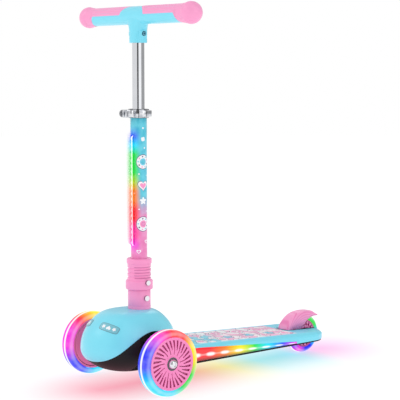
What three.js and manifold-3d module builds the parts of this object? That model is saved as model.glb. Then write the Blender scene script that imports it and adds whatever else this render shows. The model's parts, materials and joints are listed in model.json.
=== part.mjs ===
// A child's three-wheeled light-up kick scooter, in millimetres, +Z up.
// The rider faces -Y, so +X is the rider's left. The origin is on the ground, under the middle
// of the whole scooter. Inside the file, lengths along Y are counted from the front axle.
import * as THREE from "three";
import { mergeVertices } from "three/addons/utils/BufferGeometryUtils.js";
import Module from "manifold-3d";

const wasm = await Module();
wasm.setup();

// ---- driving dimensions -------------------------------------------------------------------

const GAP = 0.3; // between two pieces that meet
const WHEEL = { radius: 60, halfWidth: 14.5, hubRadius: 47.7, trackHalf: 118 };
const REAR = { radius: 39.5, halfWidth: 12, hubRadius: 28, y: 440 };
const BEARING = { outer: 11, inner: 4, width: 7 };
const AXLE_RADIUS = 3.9;

const HOOD = {
  halfWidth: 76, halfLength: 93, y: 2, equator: 74, top: 76, bottom: 48, wall: 2.5, flatTop: 139.5,
};
const ARCH = { low: 50, rise: 58, y: 8, halfLength: 98, power: 0.6, rearFloor: 71 };

const DECK = {
  halfWidth: 60, front: 57, frontHalfWidth: 44, shoulder: 107, straightEnd: 424, tailLength: 46,
  bottom: 32, basePlate: 2.5, topFront: 70, topRear: 50.5,
};
const SIDE_LIGHT = { front: 109, rear: 371, frontTop: 64, rearTop: 39, depth: 8 };
const WHEEL_SLOT = { halfWidth: 17.5, front: 383 };
const FENDER = { halfWidth: 15.5, wall: 2.5, tyreGap: 3.2, pinY: 390, pinZ: 45, tipY: 482 };

const COLUMN_Y = 27;
const KINGPIN = { y: 6, z: 62, tiltDeg: 50, radius: 5 };
const POST = { radius: 21, bore: 15.6, bottom: 134, floor: 143.4, top: 174 };
const FOLD_Z = 159;
const STEM = { radius: 15, bore: 11.5, bottom: 174.3, top: 499 };
const STEM_LIGHT = { bottom: 255, top: 455, halfWidth: 4.8, proud: 3.2 };
const COLLAR = { bottom: 174.4, top: 231, ringRadius: 25, gripRadius: 21.5, lipRadius: 23, boltZ: 188 };
const COLLAR_LIFT = 22;
// The toe turns inside the post's bore, so its corners stay within the bore's radius.
const TOE = { radius: 12, halfWidth: 9.5 };
const CLAMP = { bottom: 487, top: 503, radius: 19, boltZ: 495, boltY: -26, leverX: 13.2 };
const BAR_POST = { radius: 11, bottom: 400, top: 650 };
const BAR_BOLT_Z = 638;
const BAR = { z: 671, sleeveBottom: 622, sleeveRadius: 16, coreRadius: 13.5, gripStart: 42 };
const GRIP = { radius: 16.5, ballRadius: 20, ballX: 151 };

const FRONT_END = HOOD.y - HOOD.halfLength;
const MIDDLE_Y = (FRONT_END + FENDER.tipY) / 2;

// ---- finishes -----------------------------------------------------------------------------

const FINISHES = {
  blue: { color: 0x8feafd, roughness: 0.35, metalness: 0 },
  pink: { color: 0xff9fd0, roughness: 0.4, metalness: 0 },
  deepPink: { color: 0xff80c4, roughness: 0.4, metalness: 0 },
  black: { color: 0x101012, roughness: 0.5, metalness: 0 },
  lens: { color: 0xf4f6ff, roughness: 0.2, metalness: 0 },
  tyre: { color: 0xe6f4ff, roughness: 0.15, metalness: 0 },
  chrome: { color: 0xd8dade, roughness: 0.1, metalness: 1 },
  steel: { color: 0x9a9ca0, roughness: 0.4, metalness: 1 },
  paint: { color: 0x6ad4ec, roughness: 0.35, metalness: 0.1 },
  board: { color: 0x1f6b3a, roughness: 0.6, metalness: 0 },
};

// ---- shapes -------------------------------------------------------------------------------

// The sum is six times the volume, and negative where the faces point inwards.
function facesInwards(positions, index) {
  const a = new THREE.Vector3();
  const b = new THREE.Vector3();
  const c = new THREE.Vector3();
  let sum = 0;
  for (let i = 0; i < index.length; i += 3) {
    a.fromBufferAttribute(positions, index[i]);
    b.fromBufferAttribute(positions, index[i + 1]);
    c.fromBufferAttribute(positions, index[i + 2]);
    sum += a.dot(b.cross(c));
  }
  return sum < 0;
}

// A closed three.js geometry as a solid that can be joined and cut.
function solid(geometry) {
  const bare = geometry.index ? geometry.toNonIndexed() : geometry.clone();
  bare.deleteAttribute("normal");
  bare.deleteAttribute("uv");
  const merged = mergeVertices(bare, 1e-4);
  const positions = merged.attributes.position;
  const triVerts = new Uint32Array(merged.index.array);
  if (facesInwards(positions, triVerts)) triVerts.reverse();
  return new wasm.Manifold(new wasm.Mesh({ numProp: 3, vertProperties: positions.array, triVerts }));
}

function join(first, ...rest) {
  return rest.reduce((whole, piece) => whole.add(piece), first);
}

function cut(first, ...rest) {
  return rest.reduce((whole, piece) => whole.subtract(piece), first);
}

function box(x0, x1, y0, y1, z0, z1) {
  const geometry = new THREE.BoxGeometry(x1 - x0, y1 - y0, z1 - z0);
  geometry.translate((x0 + x1) / 2, (y0 + y1) / 2, (z0 + z1) / 2);
  return solid(geometry);
}

function rodZ(radius, z0, z1, x = 0, y = 0, segments = 20) {
  const geometry = new THREE.CylinderGeometry(radius, radius, z1 - z0, segments);
  geometry.rotateX(Math.PI / 2);
  geometry.translate(x, y, (z0 + z1) / 2);
  return solid(geometry);
}

function rodX(radius, x0, x1, y = 0, z = 0, segments = 16) {
  const geometry = new THREE.CylinderGeometry(radius, radius, x1 - x0, segments);
  geometry.rotateZ(Math.PI / 2);
  geometry.translate((x0 + x1) / 2, y, z);
  return solid(geometry);
}

function rodY(radius, y0, y1, x, z, segments = 12) {
  const geometry = new THREE.CylinderGeometry(radius, radius, y1 - y0, segments);
  geometry.translate(x, (y0 + y1) / 2, z);
  return solid(geometry);
}

// A closed [radius, height] profile turned about Z, or with `about` = "x" about X.
function turned(profile, segments = 24, about = "z") {
  const points = profile.map(([r, h]) => new THREE.Vector2(r, h));
  const onAxis = profile[0][0] === 0;
  if (!onAxis) points.push(points[0].clone());
  const geometry = new THREE.LatheGeometry(points, segments);
  if (about === "z") geometry.rotateX(Math.PI / 2);
  else geometry.rotateZ(-Math.PI / 2);
  return solid(geometry);
}

// An outline in Y and Z, carried along X.
function acrossX(outline, x0, x1) {
  const shape = new THREE.Shape(outline.map(([y, z]) => new THREE.Vector2(y, z)));
  const geometry = new THREE.ExtrudeGeometry(shape, { depth: x1 - x0, bevelEnabled: false });
  const axes = new THREE.Matrix4().makeBasis(
    new THREE.Vector3(0, 1, 0),
    new THREE.Vector3(0, 0, 1),
    new THREE.Vector3(1, 0, 0),
  );
  geometry.applyMatrix4(axes);
  geometry.translate(x0, 0, 0);
  return solid(geometry);
}

// A plan shape in X and Y, carried up Z.
function upZ(shape, z0, z1, curveSegments = 10) {
  const geometry = new THREE.ExtrudeGeometry(shape, { depth: z1 - z0, bevelEnabled: false, curveSegments });
  geometry.translate(0, 0, z0);
  return solid(geometry);
}

// A mesh of one solid, with its name and its own finish.
function piece(name, body, finish, parent) {
  const { vertProperties, triVerts } = body.getMesh();
  const geometry = new THREE.BufferGeometry();
  geometry.setAttribute("position", new THREE.BufferAttribute(vertProperties, 3));
  geometry.setIndex(new THREE.BufferAttribute(triVerts, 1));
  geometry.computeVertexNormals();
  const mesh = new THREE.Mesh(geometry, new THREE.MeshStandardMaterial(FINISHES[finish]));
  mesh.name = name;
  parent.add(mesh);
  return mesh;
}

function place(parent, x, y, z) {
  const group = new THREE.Group();
  group.position.set(x, y, z);
  parent.add(group);
  return group;
}

// ---- front housing ------------------------------------------------------------------------

// The egg that the hood and the pan are cut from: one plan, a high top half levelled off round
// the post, and a flat lower half.
function egg(inset) {
  const geometry = new THREE.SphereGeometry(1, 24, 12);
  geometry.rotateX(Math.PI / 2);
  const positions = geometry.attributes.position;
  for (let i = 0; i < positions.count; i++) {
    const z = positions.getZ(i);
    const half = (z > 0 ? HOOD.top : HOOD.bottom) - inset;
    positions.setXYZ(
      i,
      positions.getX(i) * (HOOD.halfWidth - inset),
      positions.getY(i) * (HOOD.halfLength - inset) + HOOD.y,
      Math.min(z * half + HOOD.equator, HOOD.flatTop - inset),
    );
  }
  return solid(geometry);
}

// The line where the blue hood ends: low at the nose, and arched over the wheel arms.
function edgeHeight(y) {
  const phase = (Math.PI * (y - ARCH.y)) / ARCH.halfLength;
  const wave = Math.max(0, 0.5 + 0.5 * Math.cos(phase));
  const height = ARCH.low + ARCH.rise * wave ** ARCH.power;
  return y > ARCH.y ? Math.max(height, ARCH.rearFloor) : height;
}

function belowEdge(drop) {
  const outline = [];
  const start = ARCH.y - ARCH.halfLength;
  const end = ARCH.y + ARCH.halfLength;
  const steps = 20;
  for (let step = 0; step <= steps; step++) {
    const y = start + ((end - start) * step) / steps;
    outline.push([y, edgeHeight(y) - drop]);
  }
  outline.push([end + 20, ARCH.rearFloor - drop]);
  outline.push([end + 20, 0]);
  outline.push([start - 20, 0]);
  outline.push([start - 20, ARCH.low - drop]);
  return acrossX(outline, -100, 100);
}

function makeHood(parent) {
  const shell = cut(egg(0), egg(HOOD.wall));
  const postHole = rodZ(POST.radius + GAP, 100, 180, 0, COLUMN_Y, 24);
  piece("front_cover", cut(shell, belowEdge(0), postHole), "blue", parent);
}

function makePan(parent) {
  const inset = 1;
  const shell = cut(egg(inset), egg(inset + HOOD.wall));
  const lower = shell.intersect(belowEdge(0.4));
  const armOpening = box(-90, 90, -24, 70, 36, 120);
  const rearCut = box(-90, 90, DECK.front - GAP - 6, 120, 0, 120);
  piece("front_base", cut(lower, armOpening, rearCut), "black", parent);
}

// ---- deck ---------------------------------------------------------------------------------

function deckPlan(inset) {
  const half = DECK.halfWidth - inset;
  const shape = new THREE.Shape();
  shape.moveTo(-DECK.frontHalfWidth + inset, DECK.front + inset);
  shape.lineTo(DECK.frontHalfWidth - inset, DECK.front + inset);
  shape.quadraticCurveTo(half, DECK.front + 14, half, DECK.shoulder);
  shape.lineTo(half, DECK.straightEnd);
  shape.absellipse(0, DECK.straightEnd, half, DECK.tailLength - inset, 0, Math.PI, false, 0);
  shape.lineTo(-half, DECK.shoulder);
  shape.quadraticCurveTo(-half, DECK.front + 14, -DECK.frontHalfWidth + inset, DECK.front + inset);
  return shape;
}

function deckTopHeight(y) {
  const along = (y - DECK.front) / (DECK.straightEnd + 20 - DECK.front);
  return DECK.topFront + (DECK.topRear - DECK.topFront) * along;
}

function makeDeck(parent) {
  const baseTop = DECK.bottom + DECK.basePlate;
  const tail = DECK.straightEnd + DECK.tailLength + 10;
  const wedge = acrossX(
    [
      [DECK.front - 5, baseTop + GAP],
      [tail, baseTop + GAP],
      [tail, deckTopHeight(tail)],
      [DECK.front - 5, deckTopHeight(DECK.front - 5)],
    ],
    -80,
    80,
  );
  const slot = box(-WHEEL_SLOT.halfWidth, WHEEL_SLOT.halfWidth, WHEEL_SLOT.front, tail, 0, 90);
  const lightPocket = (side) => {
    const inner = side * (DECK.halfWidth - SIDE_LIGHT.depth - GAP);
    const outer = side * (DECK.halfWidth + 5);
    return acrossX(
      [
        [SIDE_LIGHT.front - GAP, baseTop],
        [SIDE_LIGHT.rear + GAP, baseTop],
        [SIDE_LIGHT.rear + GAP, SIDE_LIGHT.rearTop + GAP],
        [SIDE_LIGHT.front - GAP, SIDE_LIGHT.frontTop + GAP],
      ],
      Math.min(inner, outer),
      Math.max(inner, outer),
    );
  };
  const deck = cut(
    upZ(deckPlan(0), DECK.bottom, 80).intersect(wedge),
    slot,
    lightPocket(1),
    lightPocket(-1),
    box(-42, 42, 124, 250, 0, 52),
    box(-30, 30, 250, 360, 0, 44),
    box(-22.3, 22.3, 40, 112.3, 0, 58.3),
    rodX(AXLE_RADIUS + GAP, -43, 43, REAR.y, REAR.radius, 16),
    rodX(2.3, -25, 25, FENDER.pinY, FENDER.pinZ, 10),
  );
  piece("deck_top", deck, "blue", parent);
  const base = cut(upZ(deckPlan(1.5), DECK.bottom, baseTop), slot);
  piece("deck_base", base, "black", parent);
}

function makeSideLights(parent) {
  const baseTop = DECK.bottom + DECK.basePlate + GAP;
  for (const [side, name] of [[1, "side_light_left"], [-1, "side_light_right"]]) {
    const inner = side * (DECK.halfWidth - SIDE_LIGHT.depth);
    const outer = side * DECK.halfWidth;
    const strip = acrossX(
      [
        [SIDE_LIGHT.front, baseTop],
        [SIDE_LIGHT.rear, baseTop],
        [SIDE_LIGHT.rear, SIDE_LIGHT.rearTop],
        [SIDE_LIGHT.front, SIDE_LIGHT.frontTop],
      ],
      Math.min(inner, outer),
      Math.max(inner, outer),
    );
    piece(name, strip, "lens", parent);
  }
  piece("battery_pack", box(-38, 38, 130, 190, baseTop, 51), "black", parent);
}

// ---- steering head and truck --------------------------------------------------------------

// Turns a geometry that was made along Z so that it lies along the kingpin, which leans back.
function alongKingpin(geometry) {
  geometry.rotateX(-THREE.MathUtils.degToRad(90 - KINGPIN.tiltDeg));
  geometry.translate(0, KINGPIN.y, KINGPIN.z);
  return geometry;
}

function kingpinRod(radius, from, to, segments = 16) {
  const geometry = new THREE.CylinderGeometry(radius, radius, to - from, segments);
  geometry.rotateX(Math.PI / 2);
  geometry.translate(0, 0, (from + to) / 2);
  return solid(alongKingpin(geometry));
}

const KINGPIN_HUB = { radius: 14, from: -17, to: 13 };

function makeHead(parent) {
  const column = rodZ(17, 80, POST.bottom - GAP, 0, COLUMN_Y, 20);
  const socket = kingpinRod(16, KINGPIN_HUB.to + 1, 44, 20);
  const springWall = box(-37, 37, 44.5, 50, 48, 76);
  const beam = box(-22, 22, 47, 112, 46, 58);
  const web = box(-10, 10, 26, 56, 56, 104);
  const bracket = cut(
    join(column, socket, springWall, beam, web),
    kingpinRod(KINGPIN.radius + GAP, -60, 36),
    kingpinRod(KINGPIN_HUB.radius + 3, -50, KINGPIN_HUB.to + 1, 20),
  );
  piece("head_bracket", bracket, "steel", parent);
  piece(
    "kingpin",
    join(kingpinRod(KINGPIN.radius, -34, 35.5), kingpinRod(9, -34, -28, 6)),
    "steel",
    parent,
  );
}

function makeTruck(parent) {
  const arm = rodX(11, -100, 100, 0, WHEEL.radius, 12);
  const hub = kingpinRod(KINGPIN_HUB.radius, KINGPIN_HUB.from, KINGPIN_HUB.to, 20);
  const bridge = cut(
    join(arm, hub, rodX(7, -105.1, 105.1, 0, WHEEL.radius, 12)),
    kingpinRod(KINGPIN.radius + 0.5, -60, 60),
    rodX(AXLE_RADIUS + GAP, -110, -70, 0, WHEEL.radius),
    rodX(AXLE_RADIUS + GAP, 70, 110, 0, WHEEL.radius),
  );
  piece("truck_bridge", bridge, "black", parent);
  const bush = kingpinRod(12, -27.6, KINGPIN_HUB.from - GAP, 16);
  piece("kingpin_bush", cut(bush, kingpinRod(KINGPIN.radius + 0.5, -60, 60)), "black", parent);
  for (const [side, name] of [[1, "left"], [-1, "right"]]) {
    const x = side * 28;
    const coil = cut(rodY(8, 11.4, 44.2, x, WHEEL.radius), rodY(5.5, 0, 60, x, WHEEL.radius));
    piece("centring_spring_" + name, coil, "steel", parent);
    const [inner, outer] = side > 0 ? [72, 133] : [-133, -72];
    const axle = rodX(AXLE_RADIUS, inner, outer, 0, WHEEL.radius);
    piece("axle_" + name, axle, "steel", parent);
  }
}

// ---- wheels -------------------------------------------------------------------------------

// A moulded wheel on two ball bearings, with the ring of lamps that its turning lights.
function makeWheel(name, size, centre, parent) {
  const group = place(parent, centre.x, centre.y, centre.z);
  const half = size.halfWidth;
  const crown = 5;
  const tyre = turned(
    [
      [size.hubRadius + GAP, -half + 1.5],
      [size.radius - crown, -half],
      [size.radius - 1.2, -half * 0.55],
      [size.radius, 0],
      [size.radius - 1.2, half * 0.55],
      [size.radius - crown, half],
      [size.hubRadius + GAP, half - 1.5],
    ],
    28,
    "x",
  );
  piece(name + "_tyre", tyre, "tyre", group);
  const web = half * 0.5;
  const bore = BEARING.outer + 0.2;
  const hub = turned(
    [
      [bore, -half + 1],
      [bore + 4, -half + 1],
      [bore + 4, -web],
      [size.hubRadius - 4, -web],
      [size.hubRadius - 4, -half + 2.5],
      [size.hubRadius, -half + 2.5],
      [size.hubRadius, half - 2.5],
      [bore, half - 1.5],
    ],
    28,
    "x",
  );
  piece(name + "_hub", hub, "deepPink", group);
  const ringIn = bore + 4.4;
  const ringOut = size.hubRadius - 4.4;
  const ringProfile = [
    [ringIn, -web - 2.2],
    [ringOut, -web - 2.2],
    [ringOut, -web - GAP],
    [ringIn, -web - GAP],
  ];
  const lamps = turned(ringProfile, 20, "x");
  piece(name + "_led_ring", lamps, "board", group);
  for (const [side, seat] of [[1, "outer"], [-1, "inner"]]) {
    const near = side * (half - 2 - BEARING.width);
    const far = side * (half - 2);
    const race = cut(
      rodX(BEARING.outer, Math.min(near, far), Math.max(near, far), 0, 0, 20),
      rodX(BEARING.inner, -20, 20),
    );
    piece(name + "_bearing_" + seat, race, "steel", group);
  }
}

function makeAxleCap(side, name, parent) {
  const face = WHEEL.halfWidth - 1.2;
  const group = place(parent, side * WHEEL.trackHalf, 0, WHEEL.radius);
  const profile = [
    [0, face + 7],
    [4.5, face + 7],
    [6.5, face + 5.5],
    [9, face + 1.5],
    [9, face],
    [0, face],
  ];
  const cap = cut(turned(profile, 20, "x"), rodX(AXLE_RADIUS + GAP, 0, face + 3));
  const mesh = piece("axle_cap_" + name, cap, "chrome", group);
  if (side < 0) mesh.rotation.z = Math.PI;
}

// ---- rear axle and fender brake -----------------------------------------------------------

function makeRear(parent) {
  piece("rear_axle", rodX(AXLE_RADIUS, -42.5, 42.5, REAR.y, REAR.radius), "steel", parent);
  for (const [side, name] of [[1, "left"], [-1, "right"]]) {
    const inner = side * (REAR.halfWidth + 0.8);
    const outer = side * (WHEEL_SLOT.halfWidth - GAP);
    const low = Math.min(inner, outer);
    const high = Math.max(inner, outer);
    const sleeve = cut(
      rodX(7, low, high, REAR.y, REAR.radius),
      rodX(AXLE_RADIUS + GAP, -60, 60, REAR.y, REAR.radius),
    );
    piece("rear_spacer_" + name, sleeve, "steel", parent);
  }
  piece("brake_pin", rodX(2, -24.5, 24.5, FENDER.pinY, FENDER.pinZ, 10), "steel", parent);
}

function makeFender(parent) {
  const outer = [
    [384.5, 41],
    [388, 58.6],
    [396, 71.5],
    [408, 81.5],
    [422, 87],
    [438, 88.5],
    [452, 87],
    [463.5, 84.6],
    [FENDER.tipY, 74.5],
    [473, 73.5],
    [462, 72],
    [448, 65],
    [439, 52.5],
    [400, 50],
    [395, 41],
  ];
  const wheelRoom = rodX(
    REAR.radius + FENDER.tyreGap,
    -FENDER.halfWidth + FENDER.wall,
    FENDER.halfWidth - FENDER.wall,
    REAR.y,
    REAR.radius,
    48,
  );
  const hood = cut(
    acrossX(outer, -FENDER.halfWidth, FENDER.halfWidth),
    wheelRoom,
    rodX(2.3, -30, 30, FENDER.pinY, FENDER.pinZ, 10),
    box(-6, 6, 380, 400, 30, 49.5),
  );
  piece("brake_fender", hood, "pink", parent);
  const spring = cut(
    rodX(3.4, -5.6, 5.6, FENDER.pinY, FENDER.pinZ, 12),
    rodX(2.4, -10, 10, FENDER.pinY, FENDER.pinZ, 12),
  );
  piece("brake_spring", spring, "steel", parent);
}

// ---- folding joint ------------------------------------------------------------------------

function makePost(parent) {
  const rearSlot = box(-POST.bore, POST.bore, 0, 40, POST.floor, 200);
  const post = cut(
    rodZ(POST.radius, POST.bottom, POST.top, 0, 0, 24),
    rodZ(POST.bore, POST.floor, 200, 0, 0, 24),
    rearSlot,
    rodX(3.3, -30, 30, 0, FOLD_Z, 12),
  );
  piece("post", post, "pink", parent);
  const boltHead = rodX(5, POST.radius + GAP, POST.radius + 3.4, 0, FOLD_Z, 16);
  piece("fold_bolt", join(rodX(3, -22, POST.radius + 1, 0, FOLD_Z, 12), boltHead), "chrome", parent);
  const foldNut = cut(rodX(5, -25, -POST.radius - GAP, 0, FOLD_Z, 6), rodX(3.3, -23, 0, 0, FOLD_Z, 12));
  piece("fold_nut", foldNut, "chrome", parent);
}

function makeStem(parent) {
  const lightRoom = STEM_LIGHT.halfWidth + GAP;
  const tube = cut(
    rodZ(STEM.radius, STEM.bottom, STEM.top, 0, 0, 28),
    rodZ(STEM.bore, 0, 600, 0, 0, 24),
    box(-lightRoom, lightRoom, -20, -13, STEM_LIGHT.bottom - 1, STEM_LIGHT.top + 1),
    box(-1.5, 1.5, -20, 0, CLAMP.bottom - 11, 520),
    box(-20, 20, -3.2, 3.2, COLLAR.boltZ - 3.6, COLLAR.boltZ + COLLAR_LIFT + 3.6),
  );
  piece("stem_tube", tube, "paint", parent);
  const toe = rodX(TOE.radius, -TOE.halfWidth, TOE.halfWidth, 0, FOLD_Z, 24);
  const foot = join(
    toe,
    rodZ(STEM.radius, FOLD_Z, STEM.bottom - GAP, 0, 0, 28),
    rodZ(STEM.bore - GAP, 165, 182, 0, 0, 20),
  );
  piece("stem_foot", cut(foot, rodX(3.3, -30, 30, 0, FOLD_Z, 12)), "steel", parent);
  const back = -14.2;
  const front = -STEM.radius - STEM_LIGHT.proud;
  const w = STEM_LIGHT.halfWidth;
  const lensPlan = new THREE.Shape();
  lensPlan.moveTo(w, back);
  lensPlan.lineTo(w, front + 2);
  lensPlan.quadraticCurveTo(w, front, 0, front);
  lensPlan.quadraticCurveTo(-w, front, -w, front + 2);
  lensPlan.lineTo(-w, back);
  piece("stem_light", upZ(lensPlan, STEM_LIGHT.bottom, STEM_LIGHT.top, 3), "lens", parent);
  const board = box(-4, 4, back + GAP, back + 0.9, STEM_LIGHT.bottom + 2, STEM_LIGHT.top - 2);
  piece("stem_light_board", board, "board", parent);
  const coil = cut(rodZ(9.5, 192, 268), rodZ(7.5, 0, 400));
  piece("collar_spring", coil, "steel", parent);
  piece("spring_plug", rodZ(STEM.bore - GAP, 268.3, 276), "black", parent);
}

function makeCollar(parent) {
  const bore = STEM.radius + GAP;
  const profile = [
    [bore, COLLAR.bottom],
    [COLLAR.ringRadius - 0.8, COLLAR.bottom],
    [COLLAR.ringRadius, COLLAR.bottom + 1],
    [COLLAR.ringRadius, 190],
    [COLLAR.gripRadius, 191.5],
  ];
  for (const z of [196, 204, 212]) {
    profile.push([COLLAR.gripRadius, z], [COLLAR.gripRadius - 1.2, z + 1], [COLLAR.gripRadius, z + 2]);
  }
  profile.push(
    [COLLAR.gripRadius, 221],
    [COLLAR.lipRadius, 222.5],
    [COLLAR.lipRadius, COLLAR.top - 1],
    [COLLAR.lipRadius - 1, COLLAR.top],
    [bore, COLLAR.top],
  );
  const sleeve = cut(turned(profile, 20), rodX(3.1, -40, 40, 0, COLLAR.boltZ, 12));
  piece("fold_collar", sleeve, "pink", parent);
  const headFrom = COLLAR.ringRadius + GAP;
  const bolt = join(
    rodX(2.8, -COLLAR.ringRadius - 1, headFrom + 1, 0, COLLAR.boltZ, 12),
    rodX(4.6, headFrom, headFrom + 3, 0, COLLAR.boltZ, 16),
  );
  piece("collar_bolt", bolt, "chrome", parent);
  const nut = cut(
    rodX(4.6, -headFrom - 3, -headFrom, 0, COLLAR.boltZ, 6),
    rodX(3.1, -headFrom - 1.6, 0, 0, COLLAR.boltZ, 12),
  );
  piece("collar_nut", nut, "chrome", parent);
}

// ---- height clamp and handlebar -----------------------------------------------------------

function makeClamp(stem, lever) {
  const ear = box(-7, 7, CLAMP.boltY - 6, -14, CLAMP.bottom + 1, CLAMP.top - 1);
  const ring = cut(
    join(rodZ(CLAMP.radius, CLAMP.bottom, CLAMP.top, 0, 0, 28), ear),
    rodZ(STEM.radius + GAP, 400, 600, 0, 0, 28),
    box(-1.5, 1.5, -60, 0, 400, 600),
    rodX(2.8, -30, 30, CLAMP.boltY, CLAMP.boltZ, 12),
  );
  piece("clamp_ring", ring, "chrome", stem);
  piece("clamp_bolt", rodX(2.5, -14, 6.9, CLAMP.boltY, CLAMP.boltZ, 12), "steel", stem);
  const nut = cut(
    rodX(7, -15.5, -7.3, CLAMP.boltY, CLAMP.boltZ, 16),
    rodX(2.8, -14.3, 0, CLAMP.boltY, CLAMP.boltZ, 12),
  );
  piece("clamp_nut", nut, "chrome", stem);
  const reach = new THREE.Shape();
  const from = THREE.MathUtils.degToRad(-58);
  const to = THREE.MathUtils.degToRad(72);
  reach.absarc(0, 0, 24.5, from, to, false);
  reach.absarc(0, 0, 21, to, from, true);
  const arm = upZ(reach, CLAMP.bottom + 2, CLAMP.top - 2, 14);
  const cam = rodZ(5.8, CLAMP.bottom + 2, CLAMP.top - 2, CLAMP.leverX, CLAMP.boltY, 16);
  const root = box(8, 15.5, CLAMP.boltY, -18, CLAMP.bottom + 2, CLAMP.top - 2);
  piece("clamp_lever", cut(join(arm, cam, root), rodZ(20.2, 400, 600, 0, 0, 32)), "chrome", lever);
}

function makeBar(parent) {
  const boltHole = rodX(2.7, -30, 30, 0, BAR_BOLT_Z, 12);
  const barTubeStock = rodZ(BAR_POST.radius, BAR_POST.bottom, BAR_POST.top, 0, 0, 24);
  piece("bar_post", cut(barTubeStock, boltHole), "chrome", parent);
  const core = cut(
    join(
      rodX(BAR.coreRadius, -150, 150, 0, BAR.z, 20),
      rodZ(BAR.sleeveRadius, BAR.sleeveBottom, BAR.z, 0, 0, 24),
    ),
    rodZ(BAR_POST.radius + GAP, 600, BAR_POST.top + 1, 0, 0, 24),
    rodX(9.3, -160, 160, 0, BAR.z, 16),
    boltHole,
  );
  piece("handlebar_core", core, "blue", parent);
  piece("bar_tube", rodX(9, -149, 149, 0, BAR.z, 16), "steel", parent);
  const bolt = join(
    rodX(2.4, -15.5, 17, 0, BAR_BOLT_Z, 12),
    rodX(4.5, BAR.sleeveRadius + GAP, BAR.sleeveRadius + 3, 0, BAR_BOLT_Z, 16),
  );
  piece("bar_bolt", bolt, "chrome", parent);
  const gripProfile = [
    [BAR.coreRadius + GAP, BAR.gripStart],
    [GRIP.radius - 0.8, BAR.gripStart],
    [GRIP.radius, BAR.gripStart + 1.5],
    [GRIP.radius, 132],
    [GRIP.radius + 2.2, 141],
  ];
  for (let step = 0; step <= 6; step++) {
    const angle = (Math.PI * (60 + 20 * step)) / 180;
    gripProfile.push([GRIP.ballRadius * Math.sin(angle), GRIP.ballX - GRIP.ballRadius * Math.cos(angle)]);
  }
  gripProfile[gripProfile.length - 1][0] = 0;
  gripProfile.push([0, BAR.gripStart + 108.6], [BAR.coreRadius + GAP, BAR.gripStart + 108.6]);
  for (const [side, name] of [[1, "grip_left"], [-1, "grip_right"]]) {
    const grip = turned(gripProfile, 20, "x");
    const group = place(parent, 0, 0, BAR.z);
    const mesh = piece(name, grip, "pink", group);
    if (side < 0) mesh.rotation.z = Math.PI;
  }
}

// ---- the scooter --------------------------------------------------------------------------

const group = new THREE.Group();
const scooter = place(group, 0, -MIDDLE_Y, 0);
const column = place(scooter, 0, COLUMN_Y, 0);

makeHood(scooter);
makePan(scooter);
makeDeck(scooter);
makeSideLights(scooter);
makeHead(scooter);
makeTruck(scooter);
makeWheel("left_wheel", WHEEL, { x: WHEEL.trackHalf, y: 0, z: WHEEL.radius }, scooter);
makeWheel("right_wheel", WHEEL, { x: -WHEEL.trackHalf, y: 0, z: WHEEL.radius }, scooter);
makeWheel("rear_wheel", REAR, { x: 0, y: REAR.y, z: REAR.radius }, scooter);
makeAxleCap(1, "left", scooter);
makeAxleCap(-1, "right", scooter);
makeRear(scooter);
makeFender(scooter);
makePost(column);
makeStem(column);
makeCollar(column);
makeClamp(column, column);
makeBar(column);

export default group;
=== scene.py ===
# %% [markdown]
# # A child's three-wheeled kick scooter
# A tilt-steered scooter: a blue egg-shaped housing over two big front wheels, a tapered deck
# with light strips down its sides, a small rear wheel under a press-down fender, and a folding
# stem with a telescopic bar. The mechanical model gives every part's place, so this lesson only
# makes the surfaces and the finishes, each one riding on the body that moves it.

# %% Load the mechanical frame
import json
import math

import bmesh
import bpy
import numpy as np
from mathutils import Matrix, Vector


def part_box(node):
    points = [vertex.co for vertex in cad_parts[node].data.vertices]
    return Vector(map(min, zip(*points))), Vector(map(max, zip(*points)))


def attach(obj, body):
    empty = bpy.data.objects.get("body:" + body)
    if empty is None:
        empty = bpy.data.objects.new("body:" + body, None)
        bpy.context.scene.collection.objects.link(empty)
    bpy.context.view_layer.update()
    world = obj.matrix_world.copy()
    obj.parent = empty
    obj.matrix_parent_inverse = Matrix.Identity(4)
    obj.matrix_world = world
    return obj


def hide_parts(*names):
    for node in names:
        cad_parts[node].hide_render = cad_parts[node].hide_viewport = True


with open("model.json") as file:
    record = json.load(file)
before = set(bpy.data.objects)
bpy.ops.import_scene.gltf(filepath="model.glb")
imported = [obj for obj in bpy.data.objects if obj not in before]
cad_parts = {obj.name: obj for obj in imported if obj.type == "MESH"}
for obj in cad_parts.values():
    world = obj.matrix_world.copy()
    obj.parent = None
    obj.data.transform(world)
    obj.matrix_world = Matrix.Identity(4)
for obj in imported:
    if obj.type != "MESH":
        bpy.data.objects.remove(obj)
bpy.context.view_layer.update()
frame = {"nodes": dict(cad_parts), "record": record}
nodes = frame["nodes"]

# %% [markdown]
# The drawings of the scooter are in millimetres, with Y counted back from the front axle, and
# the stem stands 27 mm behind it. The frame is in metres, centred on the wheelbase. One
# function does the change of place and unit, so every number below can be read off a drawing.

# %% Millimetres from the front axle to metres in the frame
AXLE_Y = 1000 * (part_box("axle_left")[0].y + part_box("axle_left")[1].y) / 2
COLUMN_Y = 27.0
REAR_AXLE_Y, REAR_AXLE_Z = 440, 39.5


def in_frame(points):
    """Adds the front axle's Y to every point, then divides by a thousand."""
    return (np.asarray(points, float).reshape(-1, 3) + (0, AXLE_Y, 0)) / 1000


print("front axle at y =", round(AXLE_Y, 1), "mm")

# %% [markdown]
# ## Camera, floor and light
# The scooter is seen from its front left corner, from a little above the deck, with a long
# lens so that the two grips stay nearly the same size. A wide white floor runs into a white
# backdrop, and three big soft lamps keep the plastic bright.

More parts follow.
